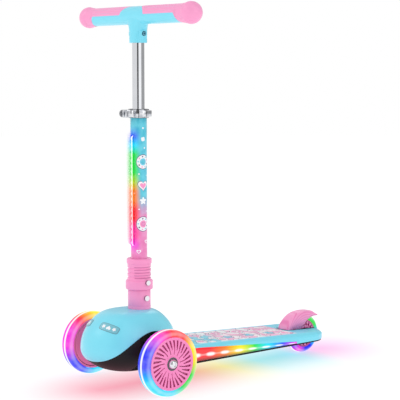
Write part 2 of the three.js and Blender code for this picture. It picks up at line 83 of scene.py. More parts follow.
# %% Camera
camera = bpy.data.objects.new("camera", bpy.data.cameras.new("camera"))
camera.data.lens = 118.8
camera.data.sensor_width = 36
camera.data.clip_end = 50
camera.location = (1.9123, -1.6106, 0.5738)
camera.rotation_euler = (math.radians(90 - 5.641), 0, math.radians(50.316))
bpy.context.scene.collection.objects.link(camera)
bpy.context.scene.camera = camera
bpy.context.scene.view_settings.view_transform = "Standard"
print("camera", tuple(round(v, 3) for v in camera.location))


# %% Soft lamps
def lamp(name, place, target, size, watts):
    """A square soft lamp at `place`, turned to look at `target`; the square is `size` wide."""
    data = bpy.data.lights.new(name, "AREA")
    data.size = size
    data.energy = watts
    made = bpy.data.objects.new(name, data)
    made.location = place
    direction = np.subtract(target, place)
    flat = math.hypot(direction[0], direction[1])
    made.rotation_euler = (
        math.pi / 2 + math.atan2(direction[2], flat),
        0,
        math.atan2(-direction[0], direction[1]),
    )
    bpy.context.scene.collection.objects.link(made)
    return made


lamp("key_lamp", (-1.0, -2.2, 2.4), (0, 0, 0.3), 1.6, 11)
lamp("fill_lamp", (2.6, 0.6, 1.8), (0, 0, 0.3), 2.0, 7)
lamp("back_lamp", (-1.8, 1.8, 1.6), (0, 0, 0.4), 1.2, 5)
print("three soft lamps")


# %% [markdown]
# ## Shader maths
# A finish is easier to read as a formula than as a web of nodes. `Wire` stands for the output
# of a node, and adding or multiplying wires adds the Math nodes. `Finish` holds one material,
# its Principled shader, and the place on the piece in millimetres as the wires x, y and z.

# %% Wires and finishes
def colour(code):
    """A colour written as six hex digits, turned from screen values into light values."""
    parts = [int(code[i : i + 2], 16) / 255 for i in (0, 2, 4)]
    return tuple(((c + 0.055) / 1.055) ** 2.4 if c > 0.04045 else c / 12.92 for c in parts) + (1.0,)


class Wire:
    """A node's output that can be used as a number in Python."""

    def __init__(self, finish, socket):
        self.finish, self.socket = finish, socket

    def __add__(self, other):
        return self.finish.maths("ADD", self, other)

    def __radd__(self, other):
        return self.finish.maths("ADD", other, self)

    def __sub__(self, other):
        return self.finish.maths("SUBTRACT", self, other)

    def __rsub__(self, other):
        return self.finish.maths("SUBTRACT", other, self)

    def __mul__(self, other):
        return self.finish.maths("MULTIPLY", self, other)

    def __rmul__(self, other):
        return self.finish.maths("MULTIPLY", other, self)

    def __truediv__(self, other):
        return self.finish.maths("DIVIDE", self, other)

    def __abs__(self):
        return self.finish.maths("ABSOLUTE", self)

    def step(self, start, end):
        """0 below start, 1 above end, and an S-shaped rise between."""
        sockets = {"Value": self, "From Min": start, "From Max": end}
        return self.finish.node("ShaderNodeMapRange", {"interpolation_type": "SMOOTHSTEP"}, sockets)


class Finish:
    """One material with a Principled shader."""

    def __init__(self, name, **sockets):
        self.material = bpy.data.materials.new(name)
        self.material.use_nodes = True
        self.tree = self.material.node_tree
        self.tree.nodes.clear()
        self.shader = self.tree.nodes.new("ShaderNodeBsdfPrincipled")
        out = self.tree.nodes.new("ShaderNodeOutputMaterial")
        self.tree.links.new(self.shader.outputs[0], out.inputs["Surface"])
        self.place = self.node("ShaderNodeTexCoord", out="Object")
        apart = self.node("ShaderNodeSeparateXYZ", {}, {0: self.place}).socket.node
        self.x = Wire(self, apart.outputs[0]) * 1000
        self.y = Wire(self, apart.outputs[1]) * 1000 - AXLE_Y
        self.z = Wire(self, apart.outputs[2]) * 1000
        self.set(**sockets)

    def node(self, kind, settings=None, sockets=None, out=0):
        """Makes any node: settings first, then the values or wires of its sockets."""
        made = self.tree.nodes.new(kind)
        for key, value in (settings or {}).items():
            if key != "stops":
                setattr(made, key, value)
                continue
            ramp = made.color_ramp
            while len(ramp.elements) < len(value):
                ramp.elements.new(1.0)
            for element, (at, tint) in zip(ramp.elements, value):
                element.position, element.color = at, tint
        for key, value in (sockets or {}).items():
            self.feed(made.inputs[key], value)
        return Wire(self, made.outputs[out])

    def feed(self, socket, value):
        if isinstance(value, Wire):
            self.tree.links.new(value.socket, socket)
        else:
            socket.default_value = value

    def set(self, **sockets):
        """Shader sockets by name, with _ for a space."""
        for key, value in sockets.items():
            self.feed(self.shader.inputs[key.replace("_", " ")], value)
        return self

    def maths(self, operation, *values):
        return self.node("ShaderNodeMath", {"operation": operation}, dict(enumerate(values)))

    def noise(self, scale, detail=2.0):
        """Smooth noise from 0 to 1; scale is in waves per metre."""
        sockets = {"Vector": self.place, "Scale": scale, "Detail": detail}
        return self.node("ShaderNodeTexNoise", {}, sockets)

    def mix(self, factor, first, second):
        return self.node("ShaderNodeMix", {"data_type": "RGBA"}, {0: factor, 6: first, 7: second}, out=2)

    def ramp(self, value, stops):
        """Colour stops (place, colour) read at a value from 0 to 1."""
        return self.node("ShaderNodeValToRGB", {"stops": stops}, {0: value})

    def bump(self, height, depth_mm, strength=1.0):
        sockets = {"Strength": strength, "Distance": depth_mm / 1000, "Height": height}
        self.set(Normal=self.node("ShaderNodeBump", {}, sockets))
        return self


print("pure white is", colour("FFFFFF"))


# %% [markdown]
# ## Floor
# Plain matt white, mostly self-lit, so that it runs into the backdrop without a horizon and its
# shadows stay faint. The glow of the scooter's own lights is painted on it: red round the front
# wheels, then yellow and cyan beside the deck, and pink behind, fading out over 260 mm. That
# painted glow is part of the floor's finish: no lamp throws it.

# %% Floor and backdrop
def disc_mesh(name, radius, z, steps=96):
    """A flat disc: one polygon of points at equal angles."""
    angle = np.linspace(0, 2 * np.pi, steps, endpoint=False)
    ring = np.stack([radius * np.cos(angle), radius * np.sin(angle), np.full(steps, z)], -1)
    mesh = bpy.data.meshes.new(name)
    mesh.from_pydata(ring.tolist(), [], [list(range(steps))])
    made = bpy.data.objects.new(name, mesh)
    bpy.context.scene.collection.objects.link(made)
    return made


FLOOR_RADIUS = 9.0
floor = disc_mesh("floor", FLOOR_RADIUS, -0.0005)
floor_white = Finish("floor_white", Roughness=0.75, Specular_IOR_Level=0.2)
nearest = floor_white.maths("MINIMUM", floor_white.maths("MAXIMUM", floor_white.y, -60.0), 500.0)
gap_y = floor_white.y - nearest
sideways = floor_white.maths("SQRT", floor_white.x * floor_white.x + gap_y * gap_y)
fading = 1 - sideways.step(-40.0, 260.0)
glow = fading * fading * (0.95 + 0.2 * floor_white.noise(9))
# Painted glow: the hues of the scooter's lights, painted on the floor as base colour and emission.
painted_glow_tint = floor_white.ramp((floor_white.y + 120.0) / 680.0, [
    (0.0, colour("FFB2C2")), (0.30, colour("FFA0B4")), (0.42, colour("FFC9A6")), (0.52, colour("FFF4A6")),
    (0.64, colour("AEF3F6")), (0.78, colour("A6ECFC")), (0.87, colour("FBC4EC")), (1.0, colour("FFC8F0"))])
hue = floor_white.mix(glow, (1, 1, 1, 1), painted_glow_tint)
floor_white.set(Base_Color=floor_white.mix(0.80, hue, (0, 0, 0, 1)))
floor_white.set(Emission_Color=hue, Emission_Strength=0.87)
floor.data.materials.append(floor_white.material)
world = bpy.data.worlds.new("white_room")
world.use_nodes = True
bpy.context.scene.world = world
print("floor radius", FLOOR_RADIUS)

# %% [markdown]
# The room is white, a little dimmer as a light than as a backdrop. Polished metal also needs
# something dark to show, so in reflections alone the room has upright bands: a narrow black
# flag and a wide grey wall at fixed bearings round the scooter.

# %% White room with a dark flag
room = world.node_tree
sky = room.nodes["Background"]


def room_node(kind, sockets, out=0, **settings):
    """A node of the room's own tree."""
    made = room.nodes.new(kind)
    for key, value in settings.items():
        setattr(made, key, value)
    for key, value in sockets.items():
        if isinstance(value, bpy.types.NodeSocket):
            room.links.new(value, made.inputs[key])
        else:
            made.inputs[key].default_value = value
    return made.outputs[out]


ray = room.nodes.new("ShaderNodeLightPath")
bearing = room_node("ShaderNodeSeparateXYZ", {0: room_node("ShaderNodeTexCoord", {})})
axes = bearing.node.outputs
turned_by = room_node("ShaderNodeMath", {0: axes[1], 1: axes[0]}, operation="ARCTAN2")
part_turn = room_node("ShaderNodeMath", {0: turned_by, 1: 1 / (2 * math.pi), 2: 0.5},
                      operation="MULTIPLY_ADD")
bands = room.nodes.new("ShaderNodeValToRGB")
PALE, DARK, WHITE, GREY = ((v, v, v, 1) for v in (0.84, 0.07, 1.1, 0.40))
stops = [(0.0, PALE), (0.325, PALE), (0.345, DARK), (0.405, DARK), (0.425, WHITE), (0.55, WHITE),
         (0.57, GREY), (0.90, GREY), (0.92, PALE), (1.0, PALE)]
for element in range(len(stops) - 2):
    bands.color_ramp.elements.new(1.0)
for element, (at, tint) in zip(bands.color_ramp.elements, stops):
    element.position, element.color = at, tint
room.links.new(part_turn, bands.inputs[0])
glossy, direct = ray.outputs["Is Glossy Ray"], ray.outputs["Is Camera Ray"]
lit = room_node("ShaderNodeMix", {0: glossy, 6: (0.80, 0.80, 0.80, 1), 7: bands.outputs[0]}, out=2,
                data_type="RGBA")
seen = room_node("ShaderNodeMix", {0: direct, 6: lit, 7: (1, 1, 1, 1)}, out=2, data_type="RGBA")
room.links.new(seen, sky.inputs["Color"])
sky.inputs["Strength"].default_value = 1.0
print("bands", len(stops))


# %% [markdown]
# ## Surfaces from grids
# Nearly every moulding is a grid of points worked out by a formula. `skin` joins the grid into
# faces, `turned` spins a profile, `swept` carries a round section along a path, and `moulding`
# puts one or more skins into a mesh, merges the seams and poles, turns the faces outwards and
# fixes the piece to its body.

# %% Grid tools
def skin(grid, round_rows=False, round_cols=False, caps=False):
    """Points (rows, cols, 3) and the four-sided faces between neighbours. A rounded direction
    also joins its last line to its first. Caps close the first and last row with one polygon."""
    rows, cols = grid.shape[:2]
    index = np.arange(rows * cols).reshape(rows, cols)
    ends = [index[0].tolist(), index[-1][::-1].tolist()] if caps else []
    if round_rows:
        index = np.vstack([index, index[:1]])
    if round_cols:
        index = np.hstack([index, index[:, :1]])
    quads = [index[:-1, :-1], index[1:, :-1], index[1:, 1:], index[:-1, 1:]]
    return grid.reshape(-1, 3), np.stack(quads, -1).reshape(-1, 4).tolist() + ends


def moulding(name, skins, body, finish, replaces=(), crease=32, inward=0.0):
    """One piece from skins in millimetres. `inward` gives a wall to an open sheet, and edges
    sharper than `crease` degrees stay sharp in the shading."""
    points, faces, start = [], [], 0
    for part_points, part_faces in skins:
        points.append(part_points)
        faces += [[start + i for i in face] for face in part_faces]
        start += len(part_points)
    mesh = bpy.data.meshes.new(name)
    mesh.from_pydata(in_frame(np.vstack(points)).tolist(), [], faces)
    work = bmesh.new()
    work.from_mesh(mesh)
    bmesh.ops.remove_doubles(work, verts=work.verts, dist=2e-6)
    bmesh.ops.dissolve_degenerate(work, dist=1e-7, edges=work.edges)
    bmesh.ops.recalc_face_normals(work, faces=work.faces)
    work.to_mesh(mesh)
    work.free()
    mesh.polygons.foreach_set("use_smooth", np.ones(len(mesh.polygons), bool))
    mesh.set_sharp_from_angle(angle=math.radians(crease))
    mesh.materials.append(finish.material)
    made = bpy.data.objects.new(name, mesh)
    bpy.context.scene.collection.objects.link(made)
    if inward:
        wall = made.modifiers.new("wall", "SOLIDIFY")
        wall.thickness = inward / 1000
        wall.offset = -1
    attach(made, body)
    if replaces:
        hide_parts(*replaces)
    print(name, "faces:", len(mesh.polygons))
    return made


def turned(profile, steps=96, axis="z", centre=(0, 0, 0)):
    """A profile of (radius, height) spun round an axis through centre: the two directions
    across the axis are radius times cosine and sine, and the third is the height."""
    r, h = np.array(profile, float).T
    angle = np.linspace(0, 2 * np.pi, steps, endpoint=False)[:, None]
    across, up, along = r * np.cos(angle), r * np.sin(angle), h + 0 * angle
    order = {"z": (across, up, along), "x": (along, across, up), "y": (up, along, across)}[axis]
    return np.stack(order, -1) + np.array(centre, float)


def eased(points, per=8):
    """A smooth line through points: Catmull-Rom, each stretch a cubic through its two ends
    whose slope at an end is half the step between the neighbours."""
    p = np.array(points, float)
    before = np.vstack([2 * p[0] - p[1], p[:-1]])
    after = np.vstack([p[1:], 2 * p[-1] - p[-2]])
    later = np.vstack([p[2:], 2 * p[-1] - p[-2], p[-1:]])
    t = np.linspace(0, 1, per, endpoint=False)[None, :, None]
    a, b, c, d = (v[:, None, :] for v in (before, p, after, later))
    line = 0.5 * (2 * b + (c - a) * t + (2 * a - 5 * b + 4 * c - d) * t**2 + (3 * b - a - 3 * c + d) * t**3)
    return np.vstack([line[:-1].reshape(-1, p.shape[1]), p[-1:]])


def filleted(corners, radius=1.0, steps=4):
    """Corners of an open profile rounded: each inner corner becomes a short quadratic arc that
    starts and ends `radius` away along the two sides, or half a side where that is less."""
    p = np.array(corners, float)
    a, b, c = p[:-2], p[1:-1], p[2:]
    back, ahead = a - b, c - b
    near, far = np.linalg.norm(back, axis=1), np.linalg.norm(ahead, axis=1)
    trim = np.minimum(radius, 0.48 * np.minimum(near, far))[:, None]
    first, last = b + back / near[:, None] * trim, b + ahead / far[:, None] * trim
    t = np.linspace(0, 1, steps)[None, :, None]
    arc = (1 - t) ** 2 * first[:, None] + 2 * t * (1 - t) * b[:, None] + t**2 * last[:, None]
    return np.vstack([p[:1], arc.reshape(-1, p.shape[1]), p[-1:]])


def swept(path, radius, sides=12):
    """A round section carried along a path: at each point, two directions across the path
    times the cosine and sine of the angle round it."""
    path = np.array(path, float)
    ahead = np.gradient(path, axis=0)
    ahead /= np.linalg.norm(ahead, axis=1)[:, None]
    guide = np.array([0.31, 0.17, 0.93])
    side = np.cross(ahead, guide)
    side /= np.linalg.norm(side, axis=1)[:, None]
    up = np.cross(side, ahead)
    angle = np.linspace(0, 2 * np.pi, sides, endpoint=False)[None, :, None]
    radius = np.broadcast_to(np.asarray(radius, float), len(path))[:, None, None]
    return path[:, None] + radius * (np.cos(angle) * side[:, None] + np.sin(angle) * up[:, None])


def block(outline, low, high, edge=0.6, lift=lambda u, v, w: (u, v, w)):
    """A flat outline (n, 2) made thick: rows at low, at high and pulled in at both rims by
    `edge`, so that the rims are rounded. `lift` turns (u, v, w) into (x, y, z)."""
    line = np.array(outline, float)
    ahead = np.roll(line, -1, 0) - np.roll(line, 1, 0)
    normal = np.stack([-ahead[:, 1], ahead[:, 0]], -1)
    normal /= np.linalg.norm(normal, axis=1)[:, None] + 1e-12
    area = np.sum(line[:, 0] * np.roll(line[:, 1], -1) - np.roll(line[:, 0], -1) * line[:, 1])
    normal *= np.sign(area)
    rows = []
    for inset, height in ((edge, low), (edge * 0.3, low + edge * 0.3), (0, low + edge),
                          (0, high - edge), (edge * 0.3, high - edge * 0.3), (edge, high)):
        flat = line + normal * inset
        rows.append(np.stack(lift(flat[:, 0], flat[:, 1], np.full(len(line), height)), -1))
    return skin(np.array(rows), round_cols=True, caps=True)


print("tools ready")

# %% [markdown]
# ## Finishes of the plastics
# The housing and the deck are injection-moulded in glossy polypropylene: a coloured base with
# a very soft unevenness, a fine skin texture, and a roughness that drifts a little. Plain pink
# and black pieces have the same build. Pieces with drawn ribs or rings, such as the fender,
# the collar and the rear hub, get a finish of their own beside their shape, with painted shade
# as the darker lines between the ribs and rings.

# %% Moulded plastics
def moulded(name, light, deep, roughness, skin_mm=0.012, gloss=0.25, **sockets):
    """Colour drifts between two near tones, roughness follows the same drift, and a fine
    noise a third of a millimetre wide makes the moulded skin."""
    made = Finish(name, Coat_Weight=gloss, Coat_Roughness=0.12, **sockets)
    drift = made.noise(14, 3)
    made.set(Base_Color=made.mix(drift, colour(light), colour(deep)))
    made.set(Roughness=roughness + 0.14 * (drift - 0.5) + 0.06 * made.noise(900))
    return made.bump(made.noise(2600, 2), skin_mm, 0.5)


sky_blue = moulded("sky_blue_plastic", "86E8FB", "78E0F8", 0.30)
candy_pink = moulded("candy_pink_plastic", "FFA4D4", "FF93CB", 0.34)
wheel_pink = moulded("wheel_pink_plastic", "FF92CC", "FB82C2", 0.36)
pan_black = moulded("pan_black_plastic", "17181B", "0E0F11", 0.5, 0.03, 0.0, Specular_IOR_Level=0.25)
deep_pink = moulded("deep_pink_plastic", "CE5A9A", "B84884", 0.4)
seal_grey = moulded("seal_grey", "5E6064", "505256", 0.5, 0.02, 0.0)
rubber_black = moulded("rubber_black", "1B1B1D", "131315", 0.7, 0.03, 0.0)
print("plastics:", sky_blue.material.name, candy_pink.material.name)

# %% [markdown]
# Chrome is a metal with almost no roughness, kept from looking like a mirror ball by faint
# polishing lines. Zinc-plated steel is duller, with a blotchy tone, and spring steel is dark.


# %% Metals
def metal(name, light, deep, roughness, lines=0.0):
    """A metal whose tone and roughness drift, with fine bands along Z for polishing lines."""
    made = Finish(name, Metallic=1.0)
    drift = made.noise(40, 3)
    made.set(Base_Color=made.mix(drift, colour(light), colour(deep)))
    band = made.node("ShaderNodeTexNoise", {"noise_dimensions": "1D"}, {"W": made.z, "Scale": 1.5})
    made.set(Roughness=roughness + 0.1 * roughness * (drift - 0.5) + 0.03 * band)
    return made.bump(band, lines, 0.3)


chrome = metal("bright_chrome", "EDEEF1", "DFE1E6", 0.07, 0.0003)
zinc = metal("zinc_steel", "A9ABB0", "8C8E93", 0.34, 0.004)
spring_steel = metal("spring_steel", "34363A", "242528", 0.4, 0.002)
print("metals:", chrome.material.name, zinc.material.name)

# %% [markdown]
# ## The blue housing
# The housing is an egg: one plan, a high top half and a flat lower half. Its lower edge is low
# at the nose and arches up over the wheel arms. Each point of the shell lies on the line from
# the edge to the post's hole, taken over the egg's surface, so the mesh fits both borders.

# %% The egg and its edge
EGG = np.array([76.0, 93.0, 76.0])
EGG_BOTTOM = 48.0
EGG_PLACE = np.array([0.0, 2.0, 74.0])
POST_HOLE = 21.3
LEVEL_TOP = 139.0


def edge_height(y):
    """50 mm at the nose, plus a 58 mm arch centred 8 mm behind the axle: a raised cosine to the
    power 0.6. Behind the arch it stays at 71 mm or higher."""
    arch = 50 + 58 * np.maximum(0, 0.5 + 0.5 * np.cos(np.pi * (y - 8) / 98)) ** 0.6
    return np.where(y > 8, np.maximum(arch, 71), arch)


def on_egg(direction, inset=0.0):
    """A unit direction times the egg's three half-lengths; the lower half is flatter. Round the
    post the top is levelled off at 139 mm by a soft minimum."""
    half = np.broadcast_to(EGG, direction.shape).copy()
    half[..., 2] = np.where(direction[..., 2] < 0, EGG_BOTTOM, EGG[2])
    point = direction * (half - inset) + EGG_PLACE
    point[..., 2] -= 3.0 * np.log1p(np.exp((point[..., 2] - LEVEL_TOP) / 3.0))
    return point


def edge_direction(turn, drop=0.0):
    """The direction in which the egg meets the edge line, found by halving between the two
    latitudes -80 and 80 degrees forty times, for every turn at once."""
    low, high = np.full_like(turn, -1.4), np.full_like(turn, 1.4)
    for _ in range(40):
        middle = (low + high) / 2
        flat = np.cos(middle)
        direction = np.stack([flat * np.cos(turn), flat * np.sin(turn), np.sin(middle)], -1)
        point = on_egg(direction)
        above = point[..., 2] > edge_height(point[..., 1]) - drop
        high, low = np.where(above, middle, high), np.where(above, low, middle)
    return direction


def hole_direction(turn):
    """The direction in which the egg meets the post's round hole."""
    x, y = POST_HOLE * np.cos(turn), COLUMN_Y + POST_HOLE * np.sin(turn)
    a, b = x / EGG[0], (y - EGG_PLACE[1]) / EGG[1]
    return np.stack([a, b, np.sqrt(1 - a**2 - b**2)], -1)


def blended(first, last, part):
    """Directions between two rows of directions, made unit length again."""
    part = np.asarray(part, float)[:, None, None]
    mixed = first[None] * (1 - part) + last[None] * part
    return mixed / np.linalg.norm(mixed, axis=2)[..., None]


turn = np.linspace(0, 2 * np.pi, 192, endpoint=False)
part = np.concatenate([[0, 0.012, 0.03], np.linspace(0.06, 0.97, 40), [0.985, 1.0]])
outside = blended(edge_direction(turn), hole_direction(turn), part)
inset = np.interp(part, [0, 0.012, 0.03, 0.97, 0.985, 1], [0.7, 0.2, 0, 0, 0.2, 0.7])[:, None, None]
shell = np.concatenate([on_egg(outside, inset), on_egg(outside[::-3], 2.5)])
moulding("housing_shell", [skin(shell, True, True)], "deck", sky_blue,
         ["front_cover"], crease=50)

# %% [markdown]
# The lower half is a black pan that stands back a millimetre, so the two halves show a shadow
# line between them. It is open where the wheel arms come out and where the deck begins.

# %% Black pan
pan_turn = np.linspace(0, 2 * np.pi, 240, endpoint=False)
pole = np.zeros((240, 3))
pole[:, 2] = -1.0
pan_rows = blended(edge_direction(pan_turn, 0.6), pole, np.linspace(0, 0.995, 36))
pan = moulding("housing_pan", [skin(on_egg(pan_rows, 1.0), round_cols=True)], "deck",
               pan_black, ["front_base"], crease=60)


def opened(piece, planes, inside):
    """Cuts the mesh along planes (point, normal), then drops the faces whose middle is inside."""
    work = bmesh.new()
    work.from_mesh(piece.data)
    for point, normal in planes:
        every = work.verts[:] + work.edges[:] + work.faces[:]
        place = in_frame([point])[0]
        bmesh.ops.bisect_plane(work, geom=every, plane_co=place, plane_no=normal)
    gone = [f for f in work.faces if inside(*(1000 * f.calc_center_median()))]
    bmesh.ops.delete(work, geom=gone, context="FACES")
    bmesh.ops.recalc_face_normals(work, faces=work.faces)
    bmesh.ops.triangulate(work, faces=[f for f in work.faces if len(f.verts) > 4])
    work.to_mesh(piece.data)
    work.free()


ARM_FRONT, ARM_LOW, PAN_REAR = -24.0, 36.0, 50.7
opened(
    pan,
    [((0, ARM_FRONT, 0), (0, 1, 0)), ((0, 0, ARM_LOW), (0, 0, 1)), ((0, PAN_REAR, 0), (0, 1, 0))],
    lambda x, y, z: y - AXLE_Y > PAN_REAR or (y - AXLE_Y > ARM_FRONT and z > ARM_LOW),
)
wall = pan.modifiers.new("wall", "SOLIDIFY")
wall.thickness, wall.offset = 0.0024, -1
print("pan faces", len(pan.data.polygons))

# %% [markdown]
# ## Stickers and raised marks
# The deck, the stem and the housing carry printed shapes: rings, hearts, stars, clouds and
# dots. Each one is a very thin lens-shaped pad: a grid from its middle to its outline, lifted
# by a few hundredths of a millimetre and laid on the surface by a function.

# %% Outlines and the sticker tool
around = np.linspace(0, 2 * np.pi, 72, endpoint=False)


def heart_outline(a):
    """The sine-cubed heart curve, scaled to about one unit."""
    x = 16 * np.sin(a) ** 3
    y = 13 * np.cos(a) - 5 * np.cos(2 * a) - 2 * np.cos(3 * a) - np.cos(4 * a)
    return np.stack([x, y + 2], -1) / 16


def star_outline(a):
    """A five-pointed star with soft points: the radius is a power of a cosine wave."""
    r = 0.55 + 0.45 * np.abs(np.cos(2.5 * a)) ** 1.6
    return np.stack([r * np.sin(a), r * np.cos(a)], -1)


def cloud_outline(a):
    """A flat oval with six bumps."""
    r = 1 + 0.14 * np.abs(np.sin(3 * a))
    return np.stack([r * np.sin(a), 0.62 * r * np.cos(a)], -1)


def round_outline(a):
    return np.stack([np.sin(a), np.cos(a)], -1)


def slab_outline(a):
    """A rounded rectangle: a superellipse of power five."""
    c, s = np.cos(a), np.sin(a)
    r = (np.abs(c) ** 5 + np.abs(s) ** 5) ** -0.2
    return np.stack([r * s, r * c], -1)


def sticker(outline, centre, size, lay, lift, hole=0.0, turn=0.0, base=-0.05):
    """Rows from the hole (or the middle) to the outline at `lift`, then back under the surface:
    a closed pad. `lay` puts (u, v, height) on the surface."""
    shape = outline(around) * size
    c, s = math.cos(turn), math.sin(turn)
    shape = np.stack([c * shape[:, 0] - s * shape[:, 1], s * shape[:, 0] + c * shape[:, 1]], -1)
    level = [(v, lift) for v in np.linspace(hole + 0.05, 0.95, 8)]
    rows = np.array([(hole, base), (hole + 0.02, lift), *level, (0.98, lift), (1.0, base)])
    uv = shape[None] * rows[:, :1, None] + np.array(centre, float)
    grid = lay(uv[..., 0], uv[..., 1], np.broadcast_to(rows[:, 1:], uv.shape[:2]))
    return skin(np.stack(grid, -1), round_rows=True, round_cols=True)


print("outline points", len(around))

# %% Badge on the housing
def badge_place(side):
    """Lays (u, v) on the egg near the nose: a fixed direction plus u along the surface and v up
    it, made unit length again, and pushed out by the height."""
    front = np.array([side * 0.40, -0.70, 0.56])
    front /= np.linalg.norm(front)
    right = np.cross((0, 0, 1.0), front) * -side
    right /= np.linalg.norm(right)
    up = np.cross(front, right) * side

    def lay(u, v, height):
        direction = front + (u * side)[..., None] * right / 80 * -1 + v[..., None] * up / 80
        direction /= np.linalg.norm(direction, axis=-1)[..., None]
        point = on_egg(direction, -np.asarray(height)[..., None])
        return point[..., 0], point[..., 1], point[..., 2]

    return lay


print("badge tools ready")

# %% [markdown]
# The badge is a small tilted plate with a grey rim and a white heart between two stars, where
# a maker would put a name. One stands on each side of the nose.

# %% Badge finishes and plates
print_white = moulded("print_white", "FFFFFF", "F4F8FF", 0.35, 0.004)
print_pink = moulded("print_pink", "FF9ED0", "FF90C8", 0.35, 0.004)
print_plum = moulded("print_plum", "6E5C86", "635278", 0.4, 0.004)
print_aqua = moulded("print_aqua", "74D9F2", "66CFEB", 0.35, 0.004)
badge_blue = moulded("badge_blue", "7CC6D6", "74BECF", 0.3, 0.004)
badge_grey = moulded("badge_grey", "6F9FAB", "6896A2", 0.35, 0.004)
for side, label in ((1, "left"), (-1, "right")):
    lay = badge_place(side)
    tilt = 0.28 * side
    moulding("badge_rim_" + label, [sticker(slab_outline, (0, 0), (20.5, 7.6), lay, 0.6, turn=tilt)],
             "deck", badge_grey)
    moulding("badge_plate_" + label, [sticker(slab_outline, (0, 0), (19.6, 6.7), lay, 0.8, 0, tilt, 0.4)],
             "deck", badge_blue)
    marks = [sticker(heart_outline, (0, 0), 4.4, lay, 1.1, 0, tilt, 0.7)]
    marks += [sticker(star_outline, (u * math.cos(tilt), u * math.sin(tilt)), 3.8, lay, 1.1, 0, tilt, 0.7)
              for u in (-11, 11)]
    moulding("badge_marks_" + label, marks, "deck", print_white)

# %% [markdown]
# ## The deck
# The deck is one moulding: a tapered plan, sides that carry the light strips in a shallow
# recess, a rounded rim, and a print area just below the rim. The profile is carried round the
# plan, so the rim follows the notch for the rear wheel too.

# %% Deck plan
DECK_LOW, SLOT_HALF, SLOT_FRONT = 34.8, 17.5, 383.0
LIGHT_FRONT, LIGHT_REAR = 109.0, 371.0


def deck_height(y):
    return 70 - 19.5 * (np.asarray(y) - 57) / 387


def light_height(y):
    """The top line of the side strip: it falls from 62 mm at the front to 39 mm at the rear."""
    return 62 - 23 * (np.asarray(y) - LIGHT_FRONT) / (LIGHT_REAR - LIGHT_FRONT)


def evenly(line, gap):
    """A closed line resampled at equal steps of its length."""
    line = np.vstack([line, line[:1]])
    length = np.concatenate([[0], np.cumsum(np.linalg.norm(np.diff(line, axis=0), axis=1))])
    at = np.linspace(0, length[-1], int(length[-1] / gap), endpoint=False)
    return np.stack([np.interp(at, length, line[:, k]) for k in (0, 1)], -1)


t = np.linspace(0, 1, 24)
side_curve = np.stack([(1 - t) ** 2 * 44 + 2 * t * (1 - t) * 60 + t**2 * 60,
                       (1 - t) ** 2 * 57 + 2 * t * (1 - t) * 71 + t**2 * 107], -1)
a = np.linspace(0, math.acos(SLOT_HALF / 60), 30)
tail_curve = np.stack([60 * np.cos(a), 424 + 46 * np.sin(a)], -1)
right_half = np.vstack([side_curve, tail_curve])
notch = filleted([tail_curve[-1], (SLOT_HALF, 455), (SLOT_HALF, SLOT_FRONT + 1), (0, SLOT_FRONT)], 5, 7)
right_half = np.vstack([right_half, notch[1:]])
deck_plan = evenly(np.vstack([right_half, right_half[-2::-1] * (-1, 1)]), 1.6)
print("deck plan points", len(deck_plan))


# %% Deck body
def inset_line(line, distance):
    """Every point moved inwards, square to the line; the distance may differ by point."""
    ahead = np.roll(line, -2, 0) - np.roll(line, 2, 0)
    normal = np.stack([-ahead[:, 1], ahead[:, 0]], -1)
    normal /= np.linalg.norm(normal, axis=1)[:, None]
    area = np.sum(line[:, 0] * np.roll(line[:, 1], -1) - np.roll(line[:, 0], -1) * line[:, 1])
    return line + normal * np.sign(area) * np.broadcast_to(distance, len(line))[:, None]


x, y = deck_plan.T
beside = (np.abs(x) > 59.5) & (y > LIGHT_FRONT) & (y < LIGHT_REAR)
recess = np.where(beside, 2.2, 0.0)
ledge = np.where(beside, light_height(y) + 0.3, DECK_LOW + 6)
top = deck_height(y)
near_slot = np.clip((18.4 - np.abs(x)) / 1.0, 0, 1) * (y > 380)
slope = 1 - 0.7 * near_slot
lower = [(recess + 0.8, DECK_LOW + 0 * y), (recess, DECK_LOW + 0.8 + 0 * y), (recess, ledge),
         (0 * y, np.minimum(ledge + 0.5, top - 5.6))]
deck_rows = [np.column_stack([inset_line(deck_plan, d), h]) for d, h in lower]
rim_profile = [(0, 5.5), (0.5, 4.5), (3.2, 2.1), (6.6, 0.3), (8.0, 0), (9.6, 0), (10.1, 0.6), (10.5, 1.2)]
for distance, drop in rim_profile:
    line = inset_line(deck_plan, distance * slope)
    deck_rows.append(np.column_stack([line, deck_height(line[:, 1]) - drop]))
moulding("deck_body", [skin(np.array(deck_rows), round_cols=True, caps=True)], "deck",
         sky_blue, ["deck_top"], crease=40)

# %% [markdown]
# The black base plate closes the deck from below. It stands in by a millimetre and a half, with
# cross ribs moulded under it.

# %% Deck base
base_rows = [np.column_stack([inset_line(deck_plan, d), np.full(len(deck_plan), h)])
             for d, h in ((2.1, 32.0), (1.6, 32.5), (1.5, 34.4), (2.2, 34.6))]
ribs = [block([(-38, sy - 1), (38, sy - 1), (38, sy + 1), (-38, sy + 1)], 31.2, 32.4, 0.3)
        for sy in range(90, 380, 29)]
moulding("deck_underside", [skin(np.array(base_rows), round_cols=True, caps=True)] + ribs, "deck",
         pan_black, ["deck_base"], crease=40)

# %% [markdown]
# The standing face is printed: aqua in front, then pink, then plain blue behind. Soft white
# patches outlined in plum cover it like a drawing, with rows of rings, hearts, stars and
# clouds on top. A patch is where a noise is high, and its outline is where the noise is near
# that same level. The face gives grip, so its bump is stronger.

